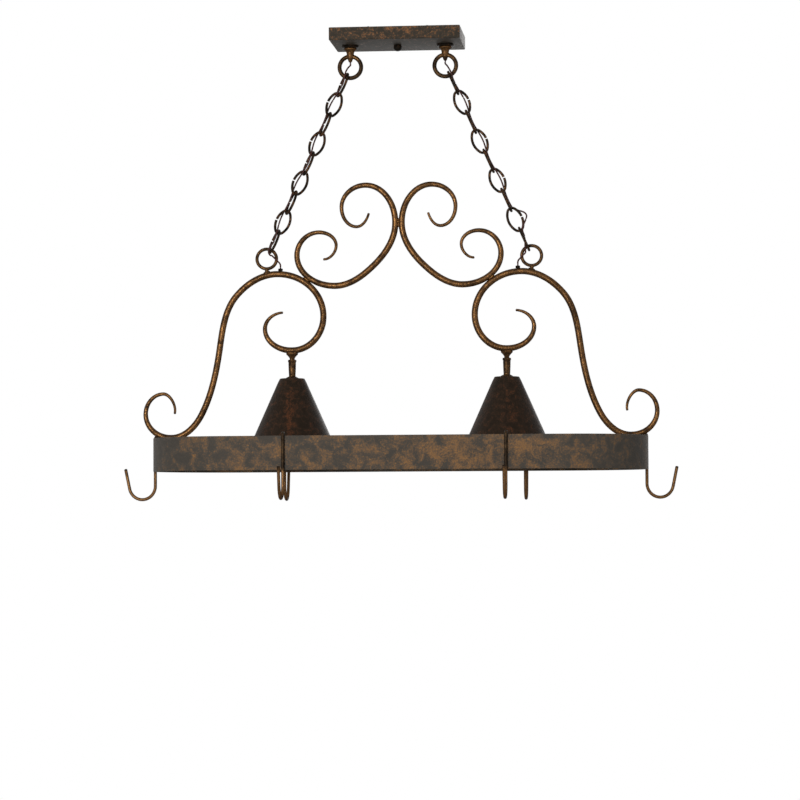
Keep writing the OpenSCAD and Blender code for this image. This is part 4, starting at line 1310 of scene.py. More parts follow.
@dataclass
class ScrollFrame:
    """Scrolls, hanging rings, bushings and the welds that join them."""

    line: ChainLine
    tube_d: float = 9.5
    tail_d: float = 3.6
    arch_x: float = 183.3
    arch_drop: float = 18.25
    arch_h: float = 115
    foot_x: float = 344.5
    foot_depth: float = 245
    foot_curl: float = 39
    shade_x: float = 161
    entry_in: float = 5
    bushing_h: float = 3.4

    def taper(self, share: float) -> float:
        """Diameter where a bar has thickened from its tail by a share of the way."""
        return self.tail_d + share * (self.tube_d - self.tail_d)

    def __post_init__(self) -> None:
        """Lays out the knots of both scrolls."""
        self.z = self.line.ring_z
        self.arch_z = -self.arch_drop - self.tube_d / 2
        self.curl_z = self.arch_z - self.arch_h
        self.foot_z = self.arch_z - self.foot_depth
        fx, fz, fc = self.foot_x, self.foot_z, self.foot_curl
        ax, az = self.arch_x, self.arch_z
        sx, cz, d, tail = self.shade_x, self.curl_z, self.tube_d, self.tail_d
        mid = d / 2 + 0.05
        self.lower = Scroll([
            (fx - 0.13 * fc, fz + 0.92 * fc, 105, tail),
            (fx + 0.30 * fc, fz + 1.70 * fc, 0, self.taper(0.27)),
            (fx + fc, fz + 0.92 * fc, -90, self.taper(0.58)), (fx, fz, 180, d),
            (fx - 45.7, fz + 34, 118, d), (ax + 89.5, az - 125, 99.5, d),
            (ax + 62.5, az - 33, 130, d), (ax, az, 180, d), (ax - 69.7, cz + 51, -90, d),
            (sx, cz, 0, d), (sx + 41, cz + 32.5, 90, self.taper(0.51)),
            (sx + 13.5, cz + 57, 178, tail)])
        self.upper = Scroll([
            (mid + 39.7, 67, -75, tail), (mid + 58.2, 46.7, 0, self.taper(0.2)),
            (mid + 80.9, 76, 90, self.taper(0.41)), (mid + 44.7, 109, 180, self.taper(0.75)),
            (mid, 52, -90, d), (mid + 29.7, -8.5, -45, d),
            (ax - 87.3, az - 28.2 + d, 0, d), (ax - 20.5 - d, az + 27.5, 90, self.taper(0.81)),
            (ax - 63.3, az + 62, 180, self.taper(0.44)),
            (ax - 89.3, az + 42, -90, self.taper(0.2)),
            (ax - 69.6, az + 21.5, 8, tail)])

    def scrolls(self) -> None:
        """Makes the four scrolls."""
        for side in Side:
            for word, scroll in (("lower", self.lower), ("upper", self.upper)):
                piece(f"{word}_scroll_bar_{side.word}", scroll.shape(self.z).on(side), "rack",
                      Finishes.scroll, [f"{word}_scroll_{side.word}"])

    def arch_at(self, x: float) -> tuple[float, float]:
        """Height and slope of the arch's shoulder at a place across."""
        rows = self.lower.curve(6, 7)[::-1]
        z = float(np.interp(x, rows[:, 0], rows[:, 1]))
        near = float(np.interp(x + 1, rows[:, 0], rows[:, 1]))
        return z, near - z

    def hanging_rings(self) -> None:
        """Makes each ring with its lug, grown into the weld on the arch."""
        x, r, wire = self.line.ring_x, self.line.ring_r, self.line.ring_wire
        seat, slope = self.arch_at(x)
        turn = np.linspace(0, FULL_TURN, 81)[:-1] + math.pi / 2
        circle = np.stack([x + r * np.cos(turn), 0 * turn, self.z + r * np.sin(turn)], 1)
        ring = bar(circle, wire / 2, 20, closed=True)
        top = self.z - r
        foot = self.z + seat + self.tube_d / 2 - 0.9
        lug = lathe([(0, foot - 1), (4.4, foot - 1.2), (4.1, foot), (3.3, foot + 0.9),
                     (3.0, foot + 1.8), (3.0, top - 1.5), (3.2, top), (2.6, top + 1.6),
                     (0, top + 1.6)], 40).at(x)
        swirl = np.linspace(0, FULL_TURN, 61)[:-1]
        rim = np.stack([x + 3.9 * np.cos(swirl), 3.9 * np.sin(swirl),
                        self.z + seat + slope * 3.9 * np.cos(swirl)
                        + np.sqrt((self.tube_d / 2) ** 2 - (3.9 * np.sin(swirl)) ** 2)
                        + 0.4], 1)
        waves = 0.95 * (1 + 0.1 * np.abs(np.sin(8 * swirl)))
        weld = bar(rim, waves, 12, closed=True)
        for side in Side:
            piece(f"hanging_ring_with_lug_{side.word}", (ring + lug + weld).on(side), "rack",
                  Finishes.casting, [f"hanging_ring_{side.word}"])

    def bushing_seat(self) -> float:
        """Height at which the bushings sit on the arches."""
        return self.z + self.arch_z + self.tube_d / 2 + SEAT_GAP / 2

    def bushings(self) -> None:
        """Makes the bushings through which the leads enter the arches."""
        top = self.bushing_h
        profile = eased([(1.4, top), (3.0, top), (3.5, 2.9), (3.5, 0), (2.4, 0), (2.4, -2.2),
                         (1.4, -2.2)], 0.3)
        bushing = lathe(profile, 40).at(self.arch_x - self.entry_in, 0, self.bushing_seat())
        piece("lead_entry_bushings", both_sides(bushing), "rack", Finishes.dark,
              ["lead_bushings"])

    def welds(self) -> None:
        """Makes the weld seams between scrolls, and between feet and crossbars."""
        seams = Shape()
        for y in (-1, 1):
            rise = np.linspace(-6.5, 6.5, 15)
            line = np.stack([0 * rise, y * (2.9 - 0.012 * rise ** 2), self.z + 52 + rise], 1)
            seams = seams + weld_bead(line, 1.5)
        heart = lathe([(0, -3.2), (1.6, -2.6), (2.9, -1.2), (3.3, 0), (2.9, 1.2), (1.6, 2.6),
                       (0, 3.2)], 24)
        seams = seams + heart.at(0, -2.6, self.z + 53) + heart.at(0, 2.6, self.z + 53)
        touch = (139.1, -31.5)
        along = np.linspace(-5, 5, 11)
        lean = math.radians(38)
        for y in (-1, 1):
            line = np.stack([touch[0] + along * math.cos(lean), np.full(11, y * 2.6),
                             self.z + touch[1] + along * math.sin(lean)], 1)
            seams = seams + both_sides(weld_bead(line, 1.3))
            across = np.linspace(-8.5, 8.5, 15)
            foot = np.stack([self.foot_x + across, np.full(15, y * 2.7),
                             self.z + self.foot_z - self.tube_d / 2 + 0.5
                             + across ** 2 / 160], 1)
            seams = seams + both_sides(weld_bead(foot, 1.3))
        piece("scroll_weld_seams", seams, "rack", Finishes.weld)

    def build(self) -> None:
        """Makes the whole scroll frame."""
        self.scrolls()
        self.hanging_rings()
        self.bushings()
        self.welds()


@dataclass
class Leads:
    """The lamp leads, from the canopy through each chain to the downlights."""

    line: ChainLine
    scrolls: ScrollFrame
    d: float = 2.4
    weave_r: float = 5
    bow: float = 13
    swing: float = 63
    bow_link: float = 8
    bow_links: float = 0.62
    weave_first: float = 0.86
    weave_step: float = 0.2
    neck_drop: float = 56.45
    in_canopy: tuple[Point, ...] = (
        (22, 32, -10.2), (34, 32, -10.2), (41, 31, -9.8), (48, 28.5, -8.8), (54.5, 24, -7.6),
        (60, 18.5, -6.8), (64.5, 12.5, -6.3), (68, 7, -6.3), (70.5, 3, -7), (71.5, 0.8, -9.5),
        (71.5, 0, -13), (71.5, 0, -19), (71.5, 0, -26), (71.5, 0, -33), (71.5, 0, -40),
        (71.5, 0, -45.4))
    start_right: tuple[Point, ...] = (
        (2.4, -1.8, 1.5), (3.2, -3.9, 7), (3.6, -5, 13), (3.1, -5.3, 18.5))
    start_left: tuple[Point, ...] = ((2.6, -2.4, 2.5), (2.9, -4.6, 9), (1.5, -5.5, 15.5))
    end_right: tuple[Point, ...] = ((0.5, -4.8, 24), (-2.2, -4.8, 18.5), (-4.4, -5.4, 12.5))
    end_left: tuple[Point, ...] = ((1.1, -6.9, 19.7), (0.6, -8.5, 10.9), (-3.3, -7.4, 7.1))
    to_arch: tuple[Point, ...] = ((-9, -6.6, 4), (-13, -6, 0), (-17, -4.2, -4),
                                  (-19.8, -1.8, -7))

    def woven(self, side: Side, k: float) -> Point:
        """A point of the lead where it weaves through the links.

        Args:
            side: the chain's side.
            k: number of the link beside it, which may be a fraction.

        Returns:
            The point, drawn for the right.
        """
        c = self.line
        a = math.radians(-self.swing * math.cos(math.radians(90 * (k - 1))))
        turn = math.radians(c.turn(side))
        near = min(1.0, abs(k - self.bow_link) / self.bow_links)
        bowed = (self.bow * math.cos(math.radians(90 * near)) ** 2
                 if side is Side.RIGHT else 0)
        out = self.weave_r * math.cos(a) + bowed
        back = (self.weave_r + 0.6) * math.sin(a)
        return c.beside(out * math.cos(turn) - back * math.sin(turn),
                        out * math.sin(turn) + back * math.cos(turn), c.place(side, k))

    def chain_route(self, side: Side) -> list[Point]:
        """The lead's route from the loop to the arch, drawn for the right."""
        c = self.line
        left = side is Side.LEFT
        first = self.start_left if left else self.start_right
        last = self.end_left if left else self.end_right
        stop = 9.06 if left else 8.94
        route: list[Point] = [(c.loop_x, 0, c.loop_ring_z + up) for up in (6, 3)]
        route += [c.beside(*p) for p in first]
        count = int((stop - self.weave_first) / self.weave_step + 1e-6) + 1
        route += [self.woven(side, self.weave_first + i * self.weave_step)
                  for i in range(count)]
        route += [c.beside(p[0], p[1], c.length - p[2]) for p in last]
        route += [(c.ring_x + p[0], p[1], c.ring_z + p[2]) for p in self.to_arch]
        x, z = self.entry()
        return route + [(x, -0.2, z + 5), (x, 0, z + 2)]

    def entry(self) -> tuple[float, float]:
        """Where a lead enters the arch: across, and the bushing's top."""
        s = self.scrolls
        return s.arch_x - s.entry_in, s.bushing_seat() + s.bushing_h

    def frame_route(self) -> list[Point]:
        """The lead's route inside the arch and down the neck, drawn for the right."""
        s = self.scrolls
        x, z = self.entry()
        route: list[Point] = [(x, 0, z + 2), (x, 0, z), (x, 0, z - s.bushing_h),
                              (x, 0, s.z + s.arch_z + 2.6), (x - 1.6, 0, s.z + s.arch_z)]
        rows = Scroll(s.lower.knots, 8).curve(7, 9)
        route += [(r[0], 0, s.z + r[1]) for r in rows
                  if r[0] < x - s.entry_in
                  and (r[1] > s.curl_z + s.arch_h / 2 or r[0] < s.shade_x - 6)]
        route += [(s.shade_x - 2.4, 0, s.z + s.curl_z - 0.6),
                  (s.shade_x - 0.4, 0, s.z + s.curl_z - 3.2)]
        foot = s.z + s.curl_z - self.neck_drop
        route += [(s.shade_x, 0, h) for h in np.arange(s.z + s.curl_z - 7, foot + 3, -7)]
        return route + [(s.shade_x, 0, foot)]

    def stretch(self, name: str, path: np.ndarray, side: Side, nodes: Sequence[str],
                body: Optional[str], bend: Optional[tuple[str, str]] = None) -> None:
        """Makes one stretch of a lead.

        Args:
            name: the piece's name.
            path: its line, drawn for the right.
            side: its side.
            nodes: the nodes it stands for.
            body: the body it rides on, or None.
            bend: the two bodies it lies between, where body is None; when given, the piece's
                placement is baked into its mesh.
        """
        made = piece(name, bar(path, self.d / 2, 14, dome=0.9).on(side), body, Finishes.lead,
                     nodes)
        if bend:
            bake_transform(made)

    def build(self) -> None:
        """Makes both leads, split where they cross a joint."""
        c = self.line
        for side in Side:
            word = side.word
            self.stretch(f"lead_in_canopy_{word}", smooth_line(self.in_canopy), side,
                         [f"lead_{word}_canopy"], "canopy")
            self.stretch(f"lead_in_frame_{word}", smooth_line(self.frame_route(), 4), side,
                         [f"lead_{word}_frame"], "rack")
            path = smooth_line(self.chain_route(side), 6)
            down = self.distance_down(path)
            top_pin, bottom_pin = c.loop_ring_r, c.length - c.ring_r
            upper = c.place(side, 1) + c.half
            lower = c.place(side, c.links) - c.half
            cuts = [0, self.cut(down, (top_pin + upper) / 2), self.cut(down, upper + 8),
                    self.cut(down, lower - 8), self.cut(down, (lower + bottom_pin) / 2),
                    len(path) - 1]
            top, chain, bottom = f"top_link_{word}", f"chain_{word}", f"bottom_link_{word}"
            parts = [("loop", None, ("canopy", top)), ("first_link", None, (top, chain)),
                     ("chain", chain, None), ("last_link", None, (chain, bottom))]
            if side is Side.LEFT:
                parts.append(("ring", None, (bottom, "rack")))
            else:
                tail = self.cut(down, bottom_pin)
                cuts[4:5] = [cuts[4], tail]
                parts += [("last_pull", bottom, None), ("ring", "rack", None)]
            for n, (label, body, bend) in enumerate(parts):
                nodes = [f"lead_{word}_chain"] if label == "chain" else []
                self.stretch(f"lead_at_{label}_{word}", path[cuts[n]:cuts[n + 1] + 1], side,
                             nodes, body, bend)

    def distance_down(self, path: np.ndarray) -> np.ndarray:
        """Each point's distance along the right chain's line."""
        c = self.line
        return ((path[:, 0] - c.loop_x) * math.sin(c.lean)
                - (path[:, 2] - c.loop_ring_z) * math.cos(c.lean))

    @staticmethod
    def cut(down: np.ndarray, distance: float) -> int:
        """Number of the first point past a distance."""
        return int(np.argmax(down > distance))


# ---------------------------------------------------------------- downlights


@dataclass
class Downlights:
    """Necks, shades and lamp holders under the arches."""

    scrolls: ScrollFrame
    shade_top_d: float = 37.5
    shade_rim_d: float = 144
    shade_h: float = 120
    sheet: float = 1.2
    bracket_d: float = 18
    bracket_h: float = 9.1
    waist_d: float = 7.5
    barrel_d: float = 12.8
    barrel_foot_d: float = 10
    barrel_h: float = 25.2
    cap_d: float = 19.5
    cap_h: float = 3
    bore: float = 4.4
    holder_d: float = 34
    holder_h: float = 42
    socket_d: float = 26.6
    socket_depth: float = 25
    nut_d: float = 13
    nut_bore: float = 3.55
    nut_h: float = 3

    def __post_init__(self) -> None:
        """Stacks the heights from the scroll down."""
        s = self.scrolls
        self.x = s.shade_x
        self.bracket_top = s.z + s.curl_z - s.tube_d / 2 - SEAT_GAP
        self.barrel_top = self.bracket_top - self.bracket_h
        self.barrel_foot = self.barrel_top - self.barrel_h
        self.shade_top = self.barrel_foot - self.cap_h
        self.holder_top = self.shade_top - self.sheet - self.nut_h - SEAT_GAP

    def neck(self, side: Side) -> None:
        """Makes the turned barrel of one neck."""
        r, foot_r, h = self.barrel_d / 2, self.barrel_foot_d / 2, self.barrel_h
        profile = [(self.bore / 2, 0), (r - 1.3, 0), (r - 0.5, -0.35), (r - 0.05, -1.1),
                   (r, -2.1), (r - 0.12, -3.2), (r - 0.6, -3.9), (r - 0.95, -4.3),
                   (r - 0.8, -4.9), (r - 0.72, -6.5)]
        profile += [(r - 0.75 - (r - 0.75 - foot_r - 0.1) * t ** 1.3, -6.5 - (h - 9.3) * t)
                    for t in np.linspace(0.1, 1, 8)]
        profile += [(foot_r - 0.15, -h + 2.2), (foot_r, -h + 1.7), (foot_r + 0.15, -h + 0.9),
                    (foot_r, -h + 0.1), (foot_r - 0.3, -h), (self.bore / 2, -h)]
        piece(f"neck_turned_barrel_{side.word}",
              lathe(profile, 64).at(self.x, 0, self.barrel_top).on(side), "rack",
              Finishes.casting, [f"neck_barrel_{side.word}"])

    def brackets(self) -> None:
        """Makes the saddles that the scrolls sit in, with their welds."""
        r, w, h = self.bracket_d / 2, self.waist_d / 2, self.bracket_h

        def profile(angle: float) -> Profile:
            lift = 1.1 * math.cos(angle) ** 2
            points = [(self.bore / 2, 0), (r - 3.2, 0.25 * lift), (r - 0.8, lift),
                      (r - 0.15, lift - 0.35), (r, lift - 0.9), (r - 0.4, -1.5)]
            points += [(w + (r - 0.6 - w) * (1 - t) ** 1.7, -1.7 - (h - 2.6) * t)
                       for t in np.linspace(0.1, 1, 8)]
            return points + [(w, -h + 0.3), (w, -h), (self.bore / 2, -h)]

        saddle = turned(profile, 72).at(self.x, 0, self.bracket_top)
        seams = Shape()
        across = np.linspace(-7, 7, 15)
        for y in (-1, 1):
            line = np.stack([self.x + across, np.full(15, y * 3.3),
                             self.bracket_top + 0.7 + across ** 2 / 110], 1)
            seams = seams + weld_bead(line, 1.2)
        piece("neck_saddle_brackets", both_sides(saddle + seams), "rack", Finishes.trim,
              ["neck_brackets"])

    def caps(self) -> None:
        """Makes the domed caps on the shades."""
        r = self.cap_d / 2
        profile = [(self.bore / 2 + 1.5, 0), (r, 0), (r + 0.05, 0.4), (0.97 * r, 0.8),
                   (0.9 * r, 1.25), (0.8 * r, 1.8), (0.69 * r, 2.4), (0.6 * r, 2.8),
                   (0.55 * r, self.cap_h), (self.bore / 2 + 1.5, self.cap_h)]
        cap = lathe(profile, 64).at(self.x, 0, self.shade_top)
        piece("shade_domed_caps", both_sides(cap), "rack", Finishes.trim,
              ["shade_caps"])

    def shade(self, side: Side) -> None:
        """Makes one spun shade with its rolled rim."""
        top, rim = self.shade_top_d / 2, self.shade_rim_d / 2
        h, t = self.shade_h, self.sheet
        slope = (rim - top) / h
        wall = t * math.sqrt(1 + slope * slope)
        outer = [(3.7, 0), (top - 1.6, 0), (top - 0.8, -0.12), (top - 0.1, -0.6),
                 (top + 0.75 * slope, -1.5)]
        outer += [(top + slope * z, -z) for z in np.linspace(6, h - 3, 14)]
        bead = 1.15
        curl = [(rim - bead + bead * math.cos(a), -h + bead + bead * math.sin(a))
                for a in np.radians(np.linspace(12, -200, 12))]
        inner = [(top + slope * z - wall, -z) for z in np.linspace(h - 4, 6, 14)]
        inner += [(top - wall + 0.6, -t - 0.5), (top - wall - 0.6, -t), (3.7, -t)]
        piece(f"spun_shade_{side.word}",
              lathe(outer + curl + inner, 128).at(self.x, 0, self.shade_top).on(side), "rack",
              Finishes.shade, [f"shade_{side.word}"])

    def fasteners(self) -> None:
        """Makes the hollow screws and the nuts inside the shades."""
        screw = threaded_tube(self.bore / 2, 3.2, 0.3, self.holder_top - 7,
                              self.barrel_foot + 9.9, 1.0, 0.2, 90, 40)
        piece("shade_hollow_screws", both_sides(screw.at(self.x)), "rack",
              Finishes.zinc, ["shade_nipples"])
        nut = hex_nut(self.nut_d, self.nut_bore, self.nut_h).at(
            self.x, 0, self.shade_top - self.sheet - self.nut_h)
        piece("shade_hex_nuts", both_sides(nut), "rack", Finishes.zinc,
              ["shade_nuts"])

    def lampholder(self, side: Side) -> None:
        """Makes one lamp holder: ribbed shell, brass screw shell and contact."""
        r, cap_r, h = self.holder_d / 2, 10.0, self.holder_h
        socket = self.socket_d / 2
        deep = self.socket_depth - h

        def shell(angle: float) -> Profile:
            rib = 0.35 * (0.5 + 0.5 * math.cos(24 * angle)) ** 2
            return [(3.6, 0), (cap_r - 0.8, 0), (cap_r, -0.8), (cap_r, -6.6),
                    (cap_r + 0.8, -8), (r - 1.6, -10.4), (r - 0.5, -11.4),
                    (r - 0.2, -12.4), (r - 0.2, -14.4),
                    (r - 0.55 - rib, -15), (r - 0.55 - rib, -h + 5), (r - 0.2, -h + 4.4),
                    (r, -h + 3.6), (r, -h + 0.8), (r - 0.8, -h), (socket + 1.5, -h),
                    (socket + 1.1, -h + 0.4), (socket + 1.1, deep), (0, deep), (0, -12),
                    (3.6, -12)]

        def threads(angle: float) -> Profile:
            rows = 84
            low, high = -h + 0.9, deep - 0.6
            inside = []
            for i in range(rows + 1):
                z = low + (high - low) * i / rows
                wave = 0.5 + 0.5 * math.cos(2 * math.pi * (z / 3.62) - angle)
                inside.append((socket + 0.75 * wave, z))
            outside = [(p + 0.25, z) for p, z in inside[::-1]]
            return inside + outside

        spot = (self.x, 0, self.holder_top)
        piece(f"lampholder_shell_{side.word}", turned(shell, 144).at(*spot).on(side), "rack",
              Finishes.shell, [f"lampholder_{side.word}"])
        contact = lathe([(0, deep - 2.6), (2.2, deep - 2.4), (3.0, deep - 1.6),
                         (3.2, deep - 0.2), (0, deep - 0.2)], 32)
        piece(f"lampholder_screw_shell_{side.word}",
              (turned(threads, 72) + contact).at(*spot).on(side), "rack", Finishes.brass)

    def build(self) -> None:
        """Makes both downlights."""
        self.brackets()
        self.caps()
        self.fasteners()
        for side in Side:
            self.neck(side)
            self.shade(side)
            self.lampholder(side)


# ---------------------------------------------------------------- band and hooks


@dataclass
class Band:
    """The oval band and the bars across its ends."""

    scrolls: ScrollFrame
    length: float = 740
    depth: float = 250
    height: float = 50
    t: float = 3
    edge_r: float = 0.55
    bar_w: float = 20
    bar_t: float = 5
    sink: float = 4

    def __post_init__(self) -> None:
        """Finds the band's heights."""
        s = self.scrolls
        self.bar_top = s.z + s.foot_z - s.tube_d / 2 - SEAT_GAP
        self.top = self.bar_top + self.sink
        self.bottom = self.top - self.height
        self.end_x = (self.length - self.depth) / 2

    def oval(self, inset: float) -> list[Point]:
        """The oval at a distance inside the band's outer face."""
        r = self.depth / 2 - inset
        line: list[Point] = []
        for sign, start in ((1, -90), (-1, 90)):
            for a in np.radians(np.linspace(start, start + 180, 49)):
                line.append((sign * self.end_x + r * math.cos(a), r * math.sin(a), 0))
            straight = np.linspace(sign * self.end_x, -sign * self.end_x, 21)[1:-1]
            line += [(x, sign * r, 0) for x in straight]
        return line

    def hoop(self) -> None:
        """Makes the band with softened edges and the weld that closes it."""
        outline = eased([(0, self.bottom), (0, self.top), (-self.t, self.top),
                         (-self.t, self.bottom)], self.edge_r, 4)
        hoop = strip(self.oval(0), outline)
        seam = np.stack([np.full(12, 60.0), np.full(12, self.depth / 2 - self.t + 0.1),
                         np.linspace(self.bottom + 1.5, self.top - 1.5, 12)], 1)
        piece("oval_band_hoop", hoop + weld_bead(seam, 1.1, 2.2), "rack", Finishes.band,
              ["rack_band"])

    def crossbars(self) -> None:
        """Makes the crossbars with eased edges, welded into the band's round ends."""
        s = self.scrolls
        inner = self.depth / 2 - self.t - SEAT_GAP
        half = self.bar_w / 2
        levels = ((-0.5, self.bar_top), (0, self.bar_top - 0.5),
                  (0, self.bar_top - self.bar_t + 0.5), (-0.5, self.bar_top - self.bar_t))
        rows = []
        for grow, z in levels:
            loop: list[Point] = []
            for sign in (1, -1):
                for x in np.linspace(half + grow, -half - grow, 9):
                    reach = s.foot_x + sign * x - self.end_x
                    y = math.sqrt(inner ** 2 - reach ** 2) + grow
                    loop.append((s.foot_x + sign * x, sign * y, z))
            rows.append(loop)
        bars = stacked(rows)
        for sign in (-1, 1):
            x = np.linspace(-half + 1, half - 1, 12)
            y = np.sqrt(inner ** 2 - (s.foot_x + x - self.end_x) ** 2)
            seam = np.stack([s.foot_x + x, sign * (y - 0.3),
                             np.full(12, self.bar_top + 0.2)], 1)
            bars = bars + weld_bead(seam, 1.2)
        piece("band_end_crossbars", both_sides(bars), "rack", Finishes.trim,
              ["end_crossbars"])

    def build(self) -> None:
        """Makes the band and its crossbars."""
        self.hoop()
        self.crossbars()


@dataclass
class PotHooks:
    """The six hooks that hang over the band's edge."""

    band: Band
    wire: float = 4.8
    bend_r: float = 20.5
    reach: float = 41.5
    tip: float = 31
    lean: float = 12
    leg: float = 14
    move_gap: float = 0.3
    side_hooks: tuple[tuple[str, float, int], ...] = (
        ("front_left", -158.5, -1), ("front_right", 166, -1),
        ("rear_left", -190, 1), ("rear_right", 181, 1))
    end_hooks: tuple[tuple[Side, float], ...] = ((Side.LEFT, 7), (Side.RIGHT, 17))

    def hook(self) -> Shape:
        """A hook over a wall at X = 0, its cup towards +X."""
        b = self.band
        u_r = (b.t + self.wire) / 2 + self.move_gap
        u_z = b.top - 0.5
        bend_z = b.bottom - self.reach + self.bend_r
        centre = u_r + self.bend_r
        lean = math.radians(self.lean)
        tip_x = centre + self.bend_r * math.cos(lean)
        tip_z = bend_z - self.bend_r * math.sin(lean)
        leg = np.linspace(u_z - self.leg, u_z, 5)[:-1]
        shank = np.linspace(u_z, bend_z, 18)[1:-1]
        tip = np.linspace(0, self.tip, 9)[1:]
        path = np.vstack([
            np.stack([np.full(4, -u_r), np.zeros(4), leg], 1),
            arc_points((0, u_z), u_r, 180, 0, 16),
            np.stack([np.full(len(shank), u_r), 0 * shank, shank], 1),
            arc_points((centre, bend_z), self.bend_r, 180, 360 - self.lean, 26),
            np.stack([tip_x + tip * math.sin(lean), 0 * tip,
                      tip_z + tip * math.cos(lean)], 1)])
        wear = 0.7 - 0.5 * np.clip((path[:, 2] - b.bottom + 4) / 10, 0, 1)
        return bar(path, self.wire / 2, 18, wear=wear, dome=0.55)

    def build(self) -> None:
        """Makes the six hooks on their own bodies."""
        plain = self.hook()
        b = self.band
        out = (b.depth - b.t) / 2
        places = [(word, Matrix.Translation((x, face * out, 0))
                   @ Matrix.Rotation(face * math.pi / 2, 4, "Z"), Side.RIGHT)
                  for word, x, face in self.side_hooks]
        places += [(f"{side.word}_end", Matrix.Translation((b.end_x, 0, 0))
                    @ Matrix.Rotation(math.radians(turn), 4, "Z")
                    @ Matrix.Translation((out, 0, 0)), side)
                   for side, turn in self.end_hooks]
        for word, place, side in places:
            piece(f"wire_pot_hook_{word}", plain.moved(place).on(side), f"hook_{word}",
                  Finishes.hook, [f"pot_hook_{word}"])


# ---------------------------------------------------------------- studio


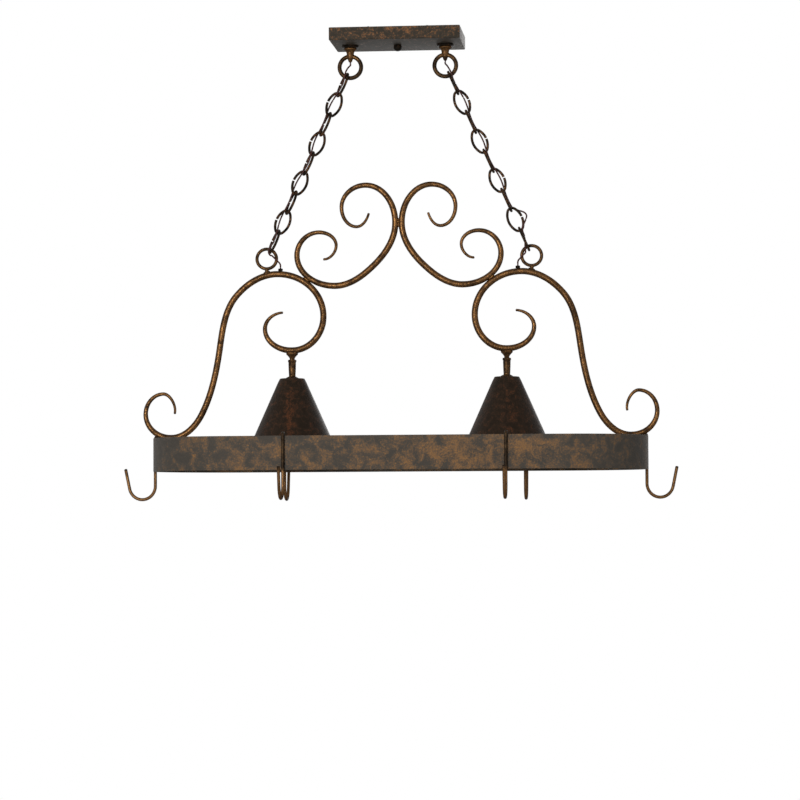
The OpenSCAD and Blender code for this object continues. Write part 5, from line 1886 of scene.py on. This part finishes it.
@dataclass
class Studio:
    """Camera, lights and floor."""

    eye: tuple[float, float, float] = (407.9, -4289.8, -719.5)
    yaw: float = 5.418
    pitch: float = 2.226
    roll: float = -0.266
    focal_px: float = 2888.6
    picture_px: float = 800
    sensor: float = 36
    floor_z: float = -4900
    floor_size: float = 60000
    middle: tuple[float, float, float] = (0, 0, -0.4)

    def camera(self) -> None:
        """Places the camera."""
        yaw, pitch, roll = (math.radians(a) for a in (self.yaw, self.pitch, self.roll))
        ahead = Vector((-math.sin(yaw) * math.cos(pitch), math.cos(yaw) * math.cos(pitch),
                        math.sin(pitch)))
        right = Vector((math.cos(yaw), math.sin(yaw), 0))
        up = right.cross(ahead)
        across = right * math.cos(roll) + up * math.sin(roll)
        above = up * math.cos(roll) - right * math.sin(roll)
        data = bpy.data.cameras.new("studio_camera")
        data.sensor_fit = "HORIZONTAL"
        data.sensor_width = self.sensor
        data.lens = self.sensor * self.focal_px / self.picture_px
        data.clip_start, data.clip_end = 0.05, 100
        thing = bpy.data.objects.new("studio_camera", data)
        bpy.context.scene.collection.objects.link(thing)
        turn = Matrix((across, above, -ahead)).transposed().to_4x4()
        thing.matrix_world = Matrix.Translation(Vector(self.eye) * MM) @ turn
        bpy.context.scene.camera = thing

    def lamp(self, name: str, place: Point, size: float, power: float) -> None:
        """Places a soft square white lamp that faces the rack.

        Args:
            name: its name.
            place: where it stands, in metres.
            size: its side, in metres.
            power: its power, in watts.
        """
        data = bpy.data.lights.new(name, "AREA")
        data.shape, data.size, data.energy = "SQUARE", size, power
        thing = bpy.data.objects.new(name, data)
        bpy.context.scene.collection.objects.link(thing)
        thing.location = place
        thing.rotation_mode = "QUATERNION"
        ahead = Vector(self.middle) - Vector(place)
        thing.rotation_quaternion = ahead.to_track_quat("-Z", "Y")

    def lamps(self) -> None:
        """Places the three studio lamps."""
        self.lamp("key_softbox", (-1.0, -3.4, -0.1), 1.1, 105)
        self.lamp("fill_softbox", (2.4, -2.6, -0.6), 1.8, 16)
        self.lamp("back_softbox", (0.6, 3.4, 0.4), 1.8, 40)

    def world(self) -> None:
        """A plain world: white behind the rack and in its gloss, grey as light."""
        world = bpy.data.worlds.new("studio_world")
        world.use_nodes = True
        bpy.context.scene.world = world
        tree = world.node_tree
        tree.nodes.clear()
        seen = self.seen_directly(tree)
        soft, white = (tree.nodes.new("ShaderNodeBackground") for _ in range(2))
        soft.inputs["Color"].default_value = (1, 1, 1, 1)
        soft.inputs["Strength"].default_value = 0.22
        white.inputs["Color"].default_value = (1, 1, 1, 1)
        white.inputs["Strength"].default_value = 1.0
        pick = tree.nodes.new("ShaderNodeMixShader")
        tree.links.new(seen, pick.inputs[0])
        tree.links.new(soft.outputs[0], pick.inputs[1])
        tree.links.new(white.outputs[0], pick.inputs[2])
        out = tree.nodes.new("ShaderNodeOutputWorld")
        tree.links.new(pick.outputs[0], out.inputs[0])

    @staticmethod
    def seen_directly(tree: bpy.types.NodeTree) -> bpy.types.NodeSocket:
        """1 for what the camera sees, also in gloss and through glass, and 0 for light."""
        rays = tree.nodes.new("ShaderNodeLightPath")
        value = rays.outputs["Is Camera Ray"]
        for name in ("Is Glossy Ray", "Is Transmission Ray"):
            node = tree.nodes.new("ShaderNodeMath")
            node.operation = "MAXIMUM"
            tree.links.new(value, node.inputs[0])
            tree.links.new(rays.outputs[name], node.inputs[1])
            value = node.outputs[0]
        return value

    def floor(self) -> None:
        """Lays the plain pale floor, far below the rack."""
        half = self.floor_size / 2
        corners = np.array([(-half, -half, 0), (half, -half, 0), (half, half, 0),
                            (-half, half, 0)], float)
        thing = loose_object("studio_floor",
                             Shape(corners, [(0, 1, 2, 3)],
                                   np.full(4, PLAIN_WEAR)).at(z=self.floor_z))
        board = Board("floor_paper")
        mottle = board.noise(400, 2)
        board.set("Base Color",
                  board.mix(mottle, (0.83, 0.83, 0.83, 1), (0.87, 0.87, 0.87, 1)))
        board.set("Roughness", 0.9)
        tree = board.tree
        seen = self.seen_directly(tree)
        glow = tree.nodes.new("ShaderNodeEmission")
        glow.inputs["Color"].default_value = (1, 1, 1, 1)
        pick = tree.nodes.new("ShaderNodeMixShader")
        tree.links.new(board.math("MULTIPLY", seen, 0.85), pick.inputs[0])
        tree.links.new(board.shader.outputs[0], pick.inputs[1])
        tree.links.new(glow.outputs[0], pick.inputs[2])
        tree.links.new(pick.outputs[0], tree.nodes["Material Output"].inputs["Surface"])
        thing.data.materials.append(board.material)

    def build(self) -> None:
        """Sets up the whole studio."""
        bpy.context.scene.view_settings.view_transform = "Standard"
        self.camera()
        self.lamps()
        self.world()
        self.floor()


def main() -> None:
    """Builds the studio and every sub-assembly."""
    logging.basicConfig(level=logging.INFO, format="%(message)s")
    Studio().build()
    line = ChainLine()
    scrolls = ScrollFrame(line)
    band = Band(scrolls)
    for part in (Canopy(), CanopyLoops(), Chains(line), scrolls, Leads(line, scrolls),
                 Downlights(scrolls), band, PotHooks(band)):
        LOG.info("building %s", type(part).__name__)
        part.build()


if __name__ == "__main__":
    main()
